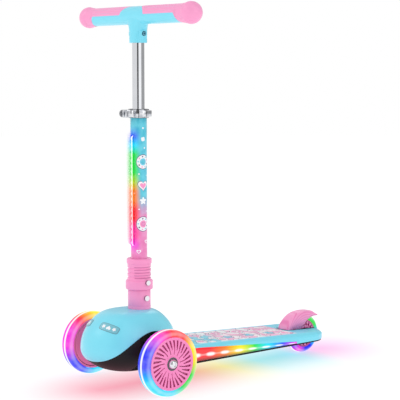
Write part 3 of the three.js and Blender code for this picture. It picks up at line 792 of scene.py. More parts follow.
# %% Printed face
deck_print = Finish("deck_print", Coat_Weight=0.15)
blush = deck_print.noise(9, 2)
pink_from = (deck_print.y + 60 * (blush - 0.5)).step(190, 212)
drawn = 1 - (deck_print.y + 12 * (blush - 0.5)).step(378, 384)
ground = deck_print.mix(pink_from, colour("7FDDF0"), colour("FFBCDE"))
patch = deck_print.noise(46, 1.5)
ground = deck_print.mix(patch.step(0.50, 0.515), ground, colour("FFF6FB"))
outline = 1 - abs(patch - 0.507).step(0.008, 0.018)
fleck = deck_print.noise(80, 1)
outline = deck_print.maths("MAXIMUM", outline, 0.8 * (1 - abs(fleck - 0.5).step(0.006, 0.02)))
ground = deck_print.mix(0.62 * outline, ground, colour("6E5C86"))
deck_print.set(Base_Color=deck_print.mix(drawn, colour("7FE3F9"), ground))
deck_print.set(Roughness=0.42 + 0.1 * blush)
deck_print.bump(deck_print.noise(1500, 2), 0.05, 0.6)
face_rows = []
for distance, drop in ((10.2, 1.1), (10.4, 0.5), (11.2, 0.4)):
    line = inset_line(deck_plan, distance * slope)
    face_rows.append(np.column_stack([line, deck_height(line[:, 1]) - drop]))
moulding("deck_print_face", [skin(np.array(face_rows), round_cols=True, caps=True)], "deck",
         deck_print, crease=40)


def on_deck(u, v, height):
    return u, v, deck_height(v) - 0.4 + height


motifs = {"white": [], "pink": [], "plum": [], "aqua": []}
rng = np.random.default_rng(7)
spots = [(sx * 27 + (-8 if row % 2 else 6), sy + 12 * sx) for row, sy in enumerate(range(132, 364, 27))
         for sx in (-1, 1)]
for number, (u, v) in enumerate(spots):
    lean = float(rng.uniform(-0.4, 0.4))
    kind = number % 4
    if kind == 0:
        motifs["plum"].append(sticker(round_outline, (u, v), 14.4, on_deck, 0.05, 0.32, lean))
        motifs["white"].append(sticker(round_outline, (u, v), 13.2, on_deck, 0.10, 0.40, lean))
        motifs["pink"].append(sticker(round_outline, (u, v), 10.6, on_deck, 0.15, 0.52, lean))
    elif kind == 1:
        motifs["plum"].append(sticker(heart_outline, (u, v), 13.0, on_deck, 0.05, 0, lean))
        motifs["white"].append(sticker(heart_outline, (u, v), 11.8, on_deck, 0.10, 0, lean))
        motifs["pink"].append(sticker(heart_outline, (u, v), 8.0, on_deck, 0.15, 0, lean))
    elif kind == 2:
        motifs["plum"].append(sticker(cloud_outline, (u, v), 15.0, on_deck, 0.05, 0, lean))
        motifs["white"].append(sticker(cloud_outline, (u, v), 13.8, on_deck, 0.10, 0, lean))
    else:
        motifs["plum"].append(sticker(star_outline, (u, v), 13.0, on_deck, 0.05, 0, lean))
        motifs["aqua"].append(sticker(star_outline, (u, v), 11.6, on_deck, 0.10, 0, lean))
print_finishes = {"plum": print_plum, "white": print_white, "pink": print_pink, "aqua": print_aqua}
for label, finish in print_finishes.items():
    moulding("deck_motifs_" + label, motifs[label], "deck", finish)

# %% [markdown]
# ## Light strips
# Each strip is a milky bar lit from behind by a row of small lamps, so it shows one rainbow
# along its length with a white spot at every lamp. The colour is looked up along Y, and the
# spots are a wave along Y times a bell across Z.

# %% Side strips
BRIGHT = {"red": "FF1220", "orange": "FF7A00", "yellow": "FFE600", "green": "18DC40",
          "cyan": "0CDCFF", "blue": "1A2CF5", "magenta": "F51EDC", "pink": "FF2A98", "lime": "B4D81E"}


def rainbow(finish, value, names):
    """Evenly spaced stops of the named bright colours."""
    gap = 1 / (len(names) - 1)
    return finish.ramp(value, [(i * gap, colour(BRIGHT[n])) for i, n in enumerate(names)])


strip_light = Finish("strip_light", Roughness=0.25, Coat_Weight=0.6, Emission_Strength=1.0)
along = (strip_light.y - LIGHT_FRONT) / (LIGHT_REAR - LIGHT_FRONT)
hues = rainbow(strip_light, along, ["red", "red", "orange", "yellow", "green", "cyan", "blue", "magenta"])
wave = 0.5 + 0.5 * strip_light.maths("COSINE", (strip_light.y - 8) * (2 * math.pi / 35))
tall = 27 - 23 * along
share = (strip_light.z - 35) / tall
across = abs(share - 0.46)
spot = (0.25 + 0.75 * wave.step(0.1, 0.8)) * (1 - across.step(0.03, 0.10 + 0.13 * wave))
low_shade = share.step(0.0, 0.42)
hues = strip_light.mix(low_shade, strip_light.mix(0.25, (0.01, 0.01, 0.01, 1), hues), hues)
strip_light.set(Emission_Color=strip_light.mix(spot, hues, colour("FFFFFF")))
strip_light.set(Base_Color=strip_light.mix(0.85, hues, colour("101014")))
strip_light.bump(wave, 0.3, 0.4)


def side_strip(side):
    """Rows along Y; each row is a rounded bar section from the base plate up to the top line."""
    ys = np.linspace(LIGHT_FRONT + 0.3, LIGHT_REAR - 0.3, 120)
    low, high = DECK_LOW + 0.3, light_height(ys)
    out = np.array([50.0, 57.5, 59.2, 59.9, 60.0, 59.9, 59.2, 57.5, 50.0])
    up = np.array([0.0, 0.0, 0.04, 0.16, 0.5, 0.84, 0.96, 1.0, 1.0])
    z = low + (high - low)[:, None] * up
    grid = np.stack([side * np.broadcast_to(out, z.shape), np.broadcast_to(ys[:, None], z.shape), z], -1)
    return skin(grid, round_cols=True, caps=True)


for side, label in ((1, "left"), (-1, "right")):
    moulding("strip_" + label, [side_strip(side)], "deck", strip_light,
             ["side_light_" + label])

# %% [markdown]
# ## Wheels
# A wheel is a clear tyre cast over a hub, two bearings and a ring of lamps that the turning
# lights. The tyre is a turned profile with a raised ridge. The hub's face is a polar grid,
# twisted so that its slots lean, with the slot faces left out and a wall added behind.

# %% Glowing tyre
def glowing_tyre(name, centre, radius, names, white=3.4, power=0.95):
    """Hues by the angle round the axle; a painted highlight, a white line, runs round the tread's
    ridge, and the colour is palest near the hub where the lamps sit."""
    made = Finish(name, Roughness=0.1, Specular_IOR_Level=0.2, Emission_Strength=power)
    dy, dz = made.y - centre[1], made.z - centre[2]
    angle = made.maths("ARCTAN2", dz, dy) / (2 * math.pi) + 0.5
    hues = rainbow(made, angle, names)
    reach = made.maths("SQRT", dy * dy + dz * dz)
    off = abs(made.x - centre[0])
    # Painted highlight: a white line in the emission along the tread's ridge.
    line = (1 - off.step(white * 0.4, white)) * reach.step(radius - 4, radius - 1)
    pale = reach.step(radius * 0.8, radius * 0.88) * (1 - reach.step(radius * 0.9, radius * 0.97))
    milky = made.noise(60, 2).step(0.35, 0.75)
    body = made.mix(0.22 * pale, hues, colour("FFFFFF"))
    body = made.mix(0.12 * milky, body, colour("FFFFFF"))
    made.set(Emission_Color=made.mix(line, body, colour("FFFFFF")))
    made.set(Base_Color=made.mix(0.9, hues, colour("101014")))
    return made.bump(made.noise(300, 2), 0.05, 0.3)


def tyre_skin(centre, radius, half, bore):
    """A turned ring: flat sides, round shoulders, a domed tread and a low ridge round its middle."""
    corners = [(bore, -half + 1.2), (bore + 1.5, -half), (radius - 6, -half), (radius - 2.4, -half * 0.78),
               (radius - 0.9, -half * 0.4), (radius - 0.7, -1.6), (radius, -1.0), (radius, 1.0),
               (radius - 0.7, 1.6), (radius - 0.9, half * 0.4), (radius - 2.4, half * 0.78),
               (radius - 6, half), (bore + 1.5, half), (bore, half - 1.2)]
    return skin(turned(filleted(corners, 2.2, 5), 144, "x", centre), round_rows=True, round_cols=True)


print("tyre tools ready")


# %% Slotted hub
def hub_skins(centre, outer_side, half, rim, slots):
    """The face: rings from the boss to the rim, twisted by 0.2 radian, the slots widening
    outwards and every second one short. Behind it stand the boss and the rim band as turned
    rings."""
    per, ring = 6, np.array([0.30, 0.36, 0.44, 0.54, 0.64, 0.74, 0.84, 0.91, 1.0]) * (rim - 1.2)
    angle = np.arange(slots * per + 1)[None] * 2 * np.pi / (slots * per)
    bend = 0.20 * ((ring - ring[0]) / (ring[-1] - ring[0]))[:, None] ** 0.9
    dome = half - 2.2 + 1.2 * np.sin(np.pi * (ring - ring[0]) / (ring[-1] - ring[0]))[:, None]
    front = turned_grid(ring, angle + bend, dome, centre, outer_side)
    back = turned_grid(ring, angle + bend, dome - 1.8, centre, outer_side)
    skins = [slotted(front, back, per)]
    boss = [(5.2, half - 5), (5.2, half - 1.6), (8.0, half - 0.9), (rim * 0.27, half - 0.9),
            (rim * 0.31, half - 2.4), (rim * 0.31, half - 6)]
    band = [(rim - 4.2, half - 6), (rim - 4.2, half - 2.6), (rim - 3.4, half - 1.4), (rim - 0.9, half - 1.2),
            (rim - 0.1, half - 2.0), (rim - 0.1, -half + 2), (rim - 4, -half + 2), (rim - 4, half - 7)]
    for profile in (filleted(boss, 0.8, 4), filleted(band, 0.6, 4)):
        ringed = np.array(profile) * (1, outer_side)
        skins.append(skin(turned(ringed, 120, "x", centre), round_rows=True, round_cols=True))
    return skins


def turned_grid(ring, angle, height, centre, side):
    across, up = ring[:, None] * np.cos(angle), ring[:, None] * np.sin(angle)
    return np.stack([side * height + 0 * across, across, up], -1) + np.array(centre, float)


def slotted(front, back, per):
    """Faces of the front and back sheets except in the slots, with walls where a kept face
    meets a slot or the border, so that the face is one closed web."""
    rows, cols = front.shape[0] - 1, front.shape[1] - 1
    r, c = np.meshgrid(np.arange(rows), np.arange(cols), indexing="ij")
    number = c // per
    wide = np.where(r > 3, 3, 2)
    open_cell = (c % per < wide) & (r > 0) & (r < rows - 1) & ((number % 2 == 0) | (r > 2))
    index = np.arange((rows + 1) * (cols + 1)).reshape(rows + 1, cols + 1)
    index[:, -1] = index[:, 0]
    shift = index.size
    quad = np.stack([index[:-1, :-1], index[1:, :-1], index[1:, 1:], index[:-1, 1:]], -1)
    kept = ~open_cell
    faces = np.vstack([quad[kept], quad[kept][:, ::-1] + shift])
    walls = []
    for roll, axis, pair in ((1, 1, (0, 1)), (-1, 1, (3, 2)), (1, 0, (0, 3)), (-1, 0, (1, 2))):
        beside = np.roll(kept, roll, axis)
        if axis == 0:
            beside[0 if roll == 1 else -1] = False
        rim_cells = quad[kept & ~beside]
        walls.append(np.column_stack([rim_cells[:, pair[0]], rim_cells[:, pair[1]],
                                      rim_cells[:, pair[1]] + shift, rim_cells[:, pair[0]] + shift]))
    points = np.vstack([front.reshape(-1, 3), back.reshape(-1, 3)])
    return points, np.vstack([faces] + walls).tolist()


print("hub tools ready")

# %% Both front wheels and the rear wheel
ringed_pink = Finish("ringed_pink", Roughness=0.4, Coat_Weight=0.2)
dy, dz = ringed_pink.y - REAR_AXLE_Y, ringed_pink.z - REAR_AXLE_Z
hub_reach = ringed_pink.maths("SQRT", dy * dy + dz * dz)
hoop = 0.5 + 0.5 * ringed_pink.maths("COSINE", hub_reach * (2 * math.pi / 7.5))
# Painted shade: darker pink rings every 7.5 mm round the rear axle stand for the shade between the hub's
# rings.
ringed_pink.set(Base_Color=ringed_pink.mix(hoop.step(0.3, 0.5), colour("D24F92"), colour("FF9AD0")))
WHEEL_HUES = {
    "left_wheel": ["blue", "cyan", "cyan", "cyan", "green", "green", "yellow", "yellow", "red", "red",
                   "magenta", "blue", "blue"],
    "right_wheel": ["magenta", "blue", "blue", "cyan", "cyan", "cyan", "green", "yellow", "yellow",
                    "yellow", "red", "magenta", "magenta"],
    "rear_wheel": ["blue", "blue", "magenta", "blue", "blue", "cyan", "cyan", "green", "green", "green",
                   "cyan", "cyan", "blue"],
}
WHEELS = {"left_wheel": ((118, 0, 60), 60, 14.5, 47.7, 1), "right_wheel": ((-118, 0, 60), 60, 14.5, 47.7, -1),
          "rear_wheel": ((0, REAR_AXLE_Y, REAR_AXLE_Z), 39.5, 12, 28, 1)}
for name, (centre, radius, half, rim, side) in WHEELS.items():
    tyre_finish = glowing_tyre(name + "_glow", centre, radius, WHEEL_HUES[name])
    moulding(name + "_cast_tyre", [tyre_skin(centre, radius, half, rim + 0.3)], name,
             tyre_finish, [name + "_tyre"], crease=50)
    in_front = name != "rear_wheel"
    slots = 30 if in_front else 16
    skins = hub_skins(centre, side, half, rim, slots)
    moulding(name + "_face", skins, name, wheel_pink if in_front else ringed_pink,
             [name + "_hub"], crease=35)
    back = [(12, half - 3), (rim - 5, half - 3), (rim - 5, half - 4.5), (12, half - 4.5)]
    back_skin = turned(np.array(back) * (1, -side), 96, "x", centre)
    moulding(name + "_back_disc", [skin(back_skin, True, True)], name, wheel_pink)
    plate = np.array([(6, half - 4.4), (rim - 3, half - 4.4), (rim - 3, half - 6), (6, half - 6)]) * (1, side)
    moulding(name + "_inner_disc", [skin(turned(plate, 96, "x", centre), True, True)], name,
             deep_pink)
    if in_front:
        collar = filleted([(9.3, half - 1.6), (9.3, half - 0.4), (11.8, half - 0.4), (12.2, half - 1.6)], 0.3)
        seal = skin(turned(np.array(collar) * (1, side), 72, "x", centre), True, True)
        moulding(name + "_seal", [seal], name, seal_grey)
print("wheels done")

# %% [markdown]
# Chrome caps close the wheel's axle on the outside, with a dimple where the key goes in.

# %% Axle caps
for side, label in ((1, "left"), (-1, "right")):
    face = 118 + 13.4
    profile = np.array([(0, face), (8.6, face), (9, face + 0.5), (9, face + 1.4), (7.2, face + 4.6),
                        (6, face + 6.1), (4.6, face + 6.9), (3.2, face + 6.7), (2.8, face + 5.2),
                        (0, face + 4.8)]) * (1, side)
    moulding("cap_" + label, [skin(turned(profile, 48, "x", (0, 0, 60)), round_cols=False, round_rows=True)],
             "truck", chrome, ["axle_cap_" + label], crease=30)

# %% [markdown]
# ## Steering truck
# A black bridge joins the two wheels. It turns on a leaning kingpin, and two coil springs
# bring it back to straight. A spring is a round wire carried along a helix, with its end turns
# closed up.

# %% Bridge and springs
LEAN = math.radians(50)


def along_kingpin(profile, steps=72):
    """A turned profile whose axis leans back by the kingpin's angle, through its middle."""
    grid = turned(profile, steps)
    x, y, z = grid[..., 0], grid[..., 1], grid[..., 2]
    s, c = math.sin(LEAN), math.cos(LEAN)
    return np.stack([x, 6 + y * s + z * c, 62 - y * c + z * s], -1)


half_arm = [(4.3, -105), (7, -105), (7, -100), (11, -99), (12.4, -60), (12.4, -40), (11, -20)]
arm = filleted(half_arm + [(r, -x) for r, x in half_arm[::-1]], 2.5, 5)
hub_ring = filleted([(5.6, -17), (14, -17), (14, 13), (5.6, 13)], 1.2, 4)
rib = block([(-92, 50), (92, 50), (84, 66), (-84, 66)], -2, 2, 0.8, lambda u, v, w: (u, w, v))
moulding("steering_bridge", [skin(turned(arm, 64, "x", (0, 0, 60)), True, True),
                             skin(along_kingpin(hub_ring), True, True), rib],
         "truck", pan_black, ["truck_bridge"])


def coil(start, end, radius, wire, turns, steps=26):
    """A helix from start to end whose first and last turn are closed up: the height grows
    slowly at the ends and evenly between."""
    t = np.linspace(0, 1, int(turns * steps))
    start, end = np.array(start, float), np.array(end, float)
    axis = (end - start) / np.linalg.norm(end - start)
    side = np.cross(axis, (1, 0, 0) if abs(axis[0]) < 0.5 else (0, 1, 0))
    side /= np.linalg.norm(side)
    other = np.cross(axis, side)
    rise = np.interp(t, [0, 1 / turns, 1 - 1 / turns, 1], [0.0, 0.045, 0.955, 1.0])
    ring = np.cos(2 * np.pi * turns * t)[:, None] * side + np.sin(2 * np.pi * turns * t)[:, None] * other
    length = np.linalg.norm(end - start) - 2 * wire
    path = start + axis * wire + axis * length * rise[:, None] + ring * (radius - wire)
    return skin(swept(path, wire, 8), round_cols=True, caps=True)


for side, label in ((1, "left"), (-1, "right")):
    moulding("return_spring_" + label, [coil((28 * side, 12.4, 60), (28 * side, 43.4, 60), 7.0, 1.0, 7)],
             "truck", spring_steel, ["centring_spring_" + label])
moulding("collar_coil", [coil((0, COLUMN_Y, 192.2), (0, COLUMN_Y, 267.8), 9.5, 0.9, 11)], "stem",
         zinc, ["collar_spring"])

# %% [markdown]
# ## Fender brake
# A pink hood over the rear wheel that a heel presses down. Its section is an arch with side
# cheeks: at each station a line goes up one cheek, over the crown and down the other. The
# stations follow the top line from the hinge, over the wheel, to the tip that droops behind.

# %% Fender
crown_line = eased([(386.5, 42), (389.3, 57.6), (397, 69.5), (409, 79), (423, 84), (438, 85.6), (452, 85),
                    (457, 84.2), (461.5, 83.2), (468, 79.4), (476.4, 74.6)], 7)
cheek_line = eased([(394, 41.5), (396, 50.5), (401, 50.5), (408, 50.5), (416, 50.8), (423, 51.5), (429, 54.5),
                    (437, 62.5), (449, 70), (461.5, 73.2), (475.6, 73.0)], 7)
stations = len(crown_line)
over = np.linspace(0, 1, 41)
bow = np.abs(2 * over - 1)
narrow = np.interp(np.linspace(0, 1, stations), [0, 0.1, 0.6, 0.8, 1.0], [15.5, 15.5, 15.5, 14.0, 10.5])
rise = (1 - bow**5) ** (1 / 2.4)
width = np.sign(over - 0.5) * np.minimum(1, bow * 1.12) ** 0.9
fender_grid = np.stack([
    narrow[:, None] * width,
    cheek_line[:, None, 0] + (crown_line - cheek_line)[:, None, 0] * rise,
    cheek_line[:, None, 1] + (crown_line - cheek_line)[:, None, 1] * rise,
], -1)
ribbed_pink = Finish("ribbed_pink", Coat_Weight=0.2, Coat_Roughness=0.15)
dy, dz = ribbed_pink.y - REAR_AXLE_Y, ribbed_pink.z - REAR_AXLE_Z
fender_reach = ribbed_pink.maths("SQRT", dy * dy + dz * dz)
rib_wave = 0.5 + 0.5 * ribbed_pink.maths("COSINE", fender_reach * (2 * math.pi / 4.6))
# Painted shade: the pink is darker in the troughs of the rib wave, where the bump sinks.
ribbed_pink.set(Base_Color=ribbed_pink.mix(rib_wave.step(0.0, 0.35), colour("F483BE"), colour("FFA0D2")))
ribbed_pink.set(Roughness=0.36 + 0.1 * ribbed_pink.noise(60))
ribbed_pink.bump(rib_wave, 0.35, 0.6)
moulding("fender_hood", [skin(fender_grid)], "brake", ribbed_pink,
         ["brake_fender"], crease=60, inward=1.6)
hinge = filleted([(2.3, -13), (5, -13), (5, 13), (2.3, 13)], 0.6)
moulding("fender_hinge", [skin(turned(hinge, 40, "x", (0, 390, 45)), True, True)], "brake",
         candy_pink)

# %% [markdown]
# ## Folding joint
# A pink post rises from the housing. Its front is a full half-tube, and its rear is open so that
# the stem can tip back. A domed chrome bolt crosses it. Above it sits the collar that locks
# the fold: a turned sleeve with grip grooves, which slides up against a spring.

# %% Post
outer_turn = np.radians(np.linspace(42, -222, 80))
inner_turn = np.radians(np.linspace(-180, 0, 50))
post_plan = np.vstack([
    np.stack([21 * np.cos(outer_turn), 21 * np.sin(outer_turn)], -1),
    [(-15.6, 14.0), (-15.6, 7.0)],
    np.stack([15.6 * np.cos(inner_turn), 15.6 * np.sin(inner_turn)], -1),
    [(15.6, 7.0), (15.6, 14.0)],
])[::-1]


def at_column(u, v, w):
    return u, v + COLUMN_Y, w


post_foot = filleted([(0, 134), (21, 134), (21, 143.6), (0, 143.6)], 0.5)
moulding("fold_post", [block(post_plan, 143.2, 174, 1.2, at_column),
                       skin(turned(post_foot, 96, centre=(0, COLUMN_Y, 0)), round_rows=True)],
         "deck", candy_pink, ["post"], crease=40)


def bolt_along_x(x_face, out, radius, y, z):
    """A domed head with a hexagon socket: a turned profile whose socket walls are pulled to six
    sides by dividing the radius by the cosine of the angle to the nearest flat."""
    profile = [(radius, 0), (radius, 0.35 * out), (0.86 * radius, 0.75 * out), (0.55 * radius, out)]
    head = turned(eased(profile, 5), 48)
    angle = np.linspace(0, 2 * np.pi, 48, endpoint=False)
    flat = 0.48 * radius / np.cos((angle + np.pi / 6) % (np.pi / 3) - np.pi / 6)
    socket = [np.stack([flat * k * np.cos(angle), flat * k * np.sin(angle), np.full(48, h)], -1)
              for k, h in ((1.0, out * 0.97), (0.97, out * 0.3), (0.0, out * 0.3))]
    rows = np.concatenate([np.zeros((48, 1, 3)) + np.stack([radius * np.cos(angle), radius * np.sin(angle),
                                                             0 * angle], -1)[:, None] * (0, 0, 1),
                           head, np.stack(socket, 1)], 1)
    grid = np.stack([x_face + rows[..., 2], y + rows[..., 0], z + rows[..., 1]], -1)
    return skin(grid, round_rows=True)


def bolt_finish(name, radius, z, light, dark):
    """Light metal with a dark rim and a dark socket as painted shade, by the distance from the bolt's own
    axis.
    """
    made = Finish(name, Metallic=0.6)
    dy, dz = made.y - COLUMN_Y, made.z - z
    away = made.maths("SQRT", dy * dy + dz * dz)
    rim = away.step(0.66 * radius, 0.76 * radius)
    socket = 1 - away.step(0.30 * radius, 0.42 * radius)
    shade = made.maths("MAXIMUM", rim, socket)
    made.set(Base_Color=made.mix(shade, colour(light), colour(dark)), Roughness=0.35 + 0.1 * made.noise(400))
    return made


moulding("fold_bolt_head", [bolt_along_x(20.8, 3.6, 5, COLUMN_Y, 159)], "deck",
         bolt_finish("fold_bolt", 5, 159, "F6F7F9", "44464C"))

# %% Fold collar
collar_profile = [(15.4, 174.5), (24, 174.5), (25, 175.6), (25, 189.4), (24.4, 190.6), (21.8, 192)]
for z in (196, 204, 212):
    collar_profile += [(21.5, z - 0.6), (20.2, z + 0.6), (20.2, z + 1.6), (21.5, z + 2.8)]
collar_profile += [(21.6, 220.4), (23, 222.6), (23, 229.6), (21.8, 231), (15.4, 231)]
collar_grid = turned(filleted(collar_profile, 0.7, 4), 144, centre=(0, COLUMN_Y, 0))
collar_pink = Finish("collar_pink", Coat_Weight=0.2, Coat_Roughness=0.15)
# Painted shade: darker pink lines every 5 mm on the sides of the sleeve, where the bump cuts fine grooves.
line = (0.5 + 0.5 * collar_pink.maths("COSINE", (collar_pink.z - 196) * (2 * math.pi / 5.0))).step(0.70, 0.95)
line = line * collar_pink.z.step(193, 195) * (1 - collar_pink.z.step(218, 220))
line = line * abs(collar_pink.x).step(9.0, 11.0)
collar_drift = collar_pink.noise(14, 3)
plain = collar_pink.mix(collar_drift, colour("FFA4D4"), colour("FF93CB"))
collar_pink.set(Base_Color=collar_pink.mix(0.75 * line, plain, colour("C85E98")))
collar_pink.set(Roughness=0.34 + 0.14 * (collar_drift - 0.5))
collar_pink.bump(line, -0.4, 0.6)
moulding("fold_collar_sleeve", [skin(collar_grid, True, True)], "collar", collar_pink,
         ["fold_collar"], crease=45)
moulding("collar_bolt_head", [bolt_along_x(24.9, 3.4, 4.7, COLUMN_Y, 188)], "collar",
         bolt_finish("collar_bolt", 4.7, 188, "F6F7F9", "44464C"))

# %% [markdown]
# ## Stem
# A painted steel tube: speckled aqua above, fading into pink below, with printed rings,
# hearts and dots on its sides. A light strip runs down its front, and the glow of its colours
# is painted onto the tube beside it.

# %% Stem paint
stem_paint = Finish("stem_paint", Coat_Weight=0.6, Coat_Roughness=0.08, Metallic=0.0)
mottle = stem_paint.noise(75, 4)
aqua = stem_paint.mix(mottle.step(0.35, 0.7), colour("41C3DC"), colour("63D5EA"))
rose = stem_paint.mix(mottle.step(0.35, 0.7), colour("EE7ABC"), colour("F698CF"))
fade = (stem_paint.z + 26 * (mottle - 0.5)).step(300, 352)
stem_paint.set(Roughness=0.26 + 0.12 * mottle)
speck = stem_paint.node("ShaderNodeTexVoronoi", {}, {"Vector": stem_paint.place, "Scale": 260.0})
stem_paint.bump(speck, 0.01, 0.3)
STEM_HUES = ["magenta", "pink", "pink", "red", "red", "orange", "orange", "lime", "green", "green", "green",
             "cyan", "blue"]
# Painted glow: the strip's hues go into the emission at the front of the tube beside the strip, and the base
# colour is darkened under them.
height = (stem_paint.z - 255) / 200
front = (-1 * (stem_paint.y - COLUMN_Y) - 0.25 * abs(stem_paint.x)).step(0.5, 12.5)
along = stem_paint.z.step(235, 262) * (1 - stem_paint.z.step(448, 475))
spill = rainbow(stem_paint, height, STEM_HUES)
bathed = front * along
paint = stem_paint.mix(fade, rose, aqua)
stem_paint.set(Base_Color=stem_paint.mix(0.9 * bathed, paint, (0.02, 0.02, 0.02, 1)))
stem_paint.set(Emission_Color=stem_paint.mix(bathed, (0, 0, 0, 1), spill), Emission_Strength=0.95)

# %% Stem tube
groove_half, groove_floor = 5.1, 13.1
stem_angle = np.radians(np.linspace(-90, 270, 181)[:-1])


def tube_section(z, outer, depth):
    """A circle whose front is cut flat to the groove's floor by `depth`, from 0 to 1."""
    x, y = outer * np.cos(stem_angle), outer * np.sin(stem_angle)
    in_groove = (np.abs(x) < groove_half) & (y < 0)
    y = np.where(in_groove, y + depth * (-groove_floor - y), y)
    return np.stack([x, y + COLUMN_Y, np.full_like(x, z)], -1)


levels = [(174.4, 14.4, 0), (174.8, 15, 0), (253.9, 15, 0), (254.0, 15, 1), (456.0, 15, 1), (456.1, 15, 0),
          (476, 15, 0), (498.6, 15, 0), (499, 14.5, 0), (499, 11.6, 0), (490, 11.6, 0)]
tube = np.array([tube_section(z, r, d) for z, r, d in levels])
moulding("stem_shaft", [skin(tube, round_cols=True, caps=True)], "stem", stem_paint,
         ["stem_tube"], crease=40)


def on_stem(u, v, h):
    """Wraps u round the tube's side from the angle at u = 0, with v up the tube."""
    angle = u / 15.0
    r = 15.0 + h
    return r * np.cos(angle), COLUMN_Y + r * np.sin(angle), v


def stem_prints(turn):
    """The printed shapes on one side; `turn` is the angle of their middle line."""
    shift = turn * 15
    plum, white, pink, blue = [], [], [], []
    for z, rim, tone in ((408, 13.6, blue), (295, 14.0, pink)):
        plum.append(sticker(round_outline, (shift, z), rim, on_stem, 0.05, 0.24))
        white.append(sticker(round_outline, (shift, z), rim - 1.1, on_stem, 0.09, 0.34))
        tone.append(sticker(round_outline, (shift, z), rim * 0.48, on_stem, 0.13, 0.55))
        for k in range(9):
            a = 2 * np.pi * k / 9 + 0.3
            at = (shift + 0.7 * rim * math.cos(a), z + 0.7 * rim * math.sin(a))
            (pink, blue, plum)[k % 3].append(sticker(slab_outline, at, 1.25, on_stem, 0.15, 0, a))
    plum.append(sticker(heart_outline, (shift, 364), 11.0, on_stem, 0.05))
    white.append(sticker(heart_outline, (shift, 364), 9.9, on_stem, 0.09))
    pink.append(sticker(heart_outline, (shift, 364), 6.4, on_stem, 0.13))
    white.append(sticker(star_outline, (shift, 337), 7.0, on_stem, 0.09))
    white.append(sticker(slab_outline, (shift, 449), 3.6, on_stem, 0.09, 0, 0.2))
    dots = [(0, 469, 1.7), (3, 433, 1.5), (-8, 386, 1.4), (9, 383, 1.2), (-8, 322, 1.4), (8, 318, 1.2)]
    for u, v, size in dots:
        white.append(sticker(round_outline, (shift + u, v), size, on_stem, 0.09))
    for u, v in ((-9, 244), (7, 262)):
        white.append(sticker(heart_outline, (shift + u, v), 4.4, on_stem, 0.09, 0.55))
    return plum, white, pink, blue


sides = [stem_prints(math.radians(-5)), stem_prints(math.radians(185))]
for number, (label, finish) in enumerate(print_finishes.items()):
    moulding("stem_prints_" + label, sides[0][number] + sides[1][number], "stem", finish)

# %% Stem light
stem_glow = Finish("stem_glow", Roughness=0.3, Specular_IOR_Level=0.2, Emission_Strength=1.9)
up_light = (stem_glow.z - 255) / 200
hues = rainbow(stem_glow, up_light, STEM_HUES)
bead = 0.5 + 0.5 * stem_glow.maths("COSINE", stem_glow.z * (2 * math.pi / 10))
core = 1 - abs(stem_glow.x - 1.0).step(0.5, 1.8 + 1.3 * bead)
dimmed, whitened = stem_glow.mix(0.48, hues, (0, 0, 0, 1)), stem_glow.mix(0.78, hues, colour("FFFFFF"))
stem_glow.set(Emission_Color=stem_glow.mix(core, dimmed, whitened))
stem_glow.set(Base_Color=stem_glow.mix(0.9, hues, colour("101014")))
stem_glow.bump(bead, 0.5, 0.6)
zs = np.linspace(255, 455, 241)
beads = 0.5 + 0.5 * np.cos(zs * 2 * np.pi / 10)
tip = np.clip(np.minimum(zs - 255, 455 - zs) / 4, 0, 1) ** 0.5
arch = np.radians(np.linspace(180, 360, 25))
half = (3.8 + 0.5 * beads) * (0.35 + 0.65 * tip)
deep = (2.0 + 0.9 * beads) * (0.2 + 0.8 * tip)
lens_x = half[:, None] * np.cos(arch)
lens_y = COLUMN_Y - 14.3 + deep[:, None] * np.sin(arch)
lens = np.stack([lens_x, lens_y, zs[:, None] + 0 * lens_x], -1)
moulding("stem_light_bar", [skin(lens, round_cols=True, caps=True)], "stem", stem_glow,
         ["stem_light"], crease=60)

# %% [markdown]
# The strip is bright enough to make the air round it glow. Four thin clear shells stand for that:
# each is a capsule round the strip in the strip's own hues, and the alpha falls from the inner
# shell to the outer one.

# %% Halo of the stem light
halo = Finish("stem_halo", Roughness=1.0, Specular_IOR_Level=0.0, Emission_Strength=1.0)
halo_hues = rainbow(halo, (halo.z - 255) / 200, STEM_HUES)
halo.set(Emission_Color=halo_hues, Base_Color=(0.01, 0.01, 0.01, 1))
ax, ay = halo.x, halo.y - (COLUMN_Y - 15.5)
away = halo.maths("SQRT", ax * ax + ay * ay)
ends = halo.z.step(243, 268) * (1 - halo.z.step(440, 466))
halo.set(Alpha=ends * (0.05 + 0.20 * (1 - away.step(3.0, 11.5))))
shells = []
for radius in (5.0, 7.0, 9.0, 11.0):
    zs = np.linspace(255, 456 + radius, 60)
    middle, reach = (zs[0] + zs[-1]) / 2, (zs[-1] - zs[0]) / 2
    taper = np.sqrt(np.clip(1 - (np.abs(zs - middle) / reach) ** 14, 0.002, 1))
    path = np.stack([0 * zs, COLUMN_Y - 15.5 + 0 * zs, zs], -1)
    shell = swept(path, radius * taper, 24)
    shell[..., 1] = np.minimum(shell[..., 1], COLUMN_Y - 12.4)
    shells.append(skin(shell, round_cols=True, caps=True))
moulding("stem_light_halo", shells, "stem", halo, crease=60)

# %% [markdown]
# ## Height clamp
# A chrome ring split at the front. A thick bolt passes its two ears, with a knurled nut on one
# end and a lever on the other whose cam pulls the split shut.

# %% Clamp ring, nut and lever
cast_chrome = Finish("cast_chrome", Metallic=1.0)
grain = cast_chrome.noise(150, 3)
ring_angle = cast_chrome.maths("ARCTAN2", cast_chrome.y - COLUMN_Y, cast_chrome.x)
# Painted reflection: ten dark bands round the ring, by the angle round the stem, standing in for facets.
painted_facet_reflection = abs(cast_chrome.maths("SINE", ring_angle * 5.0)).step(0.0, 0.28)
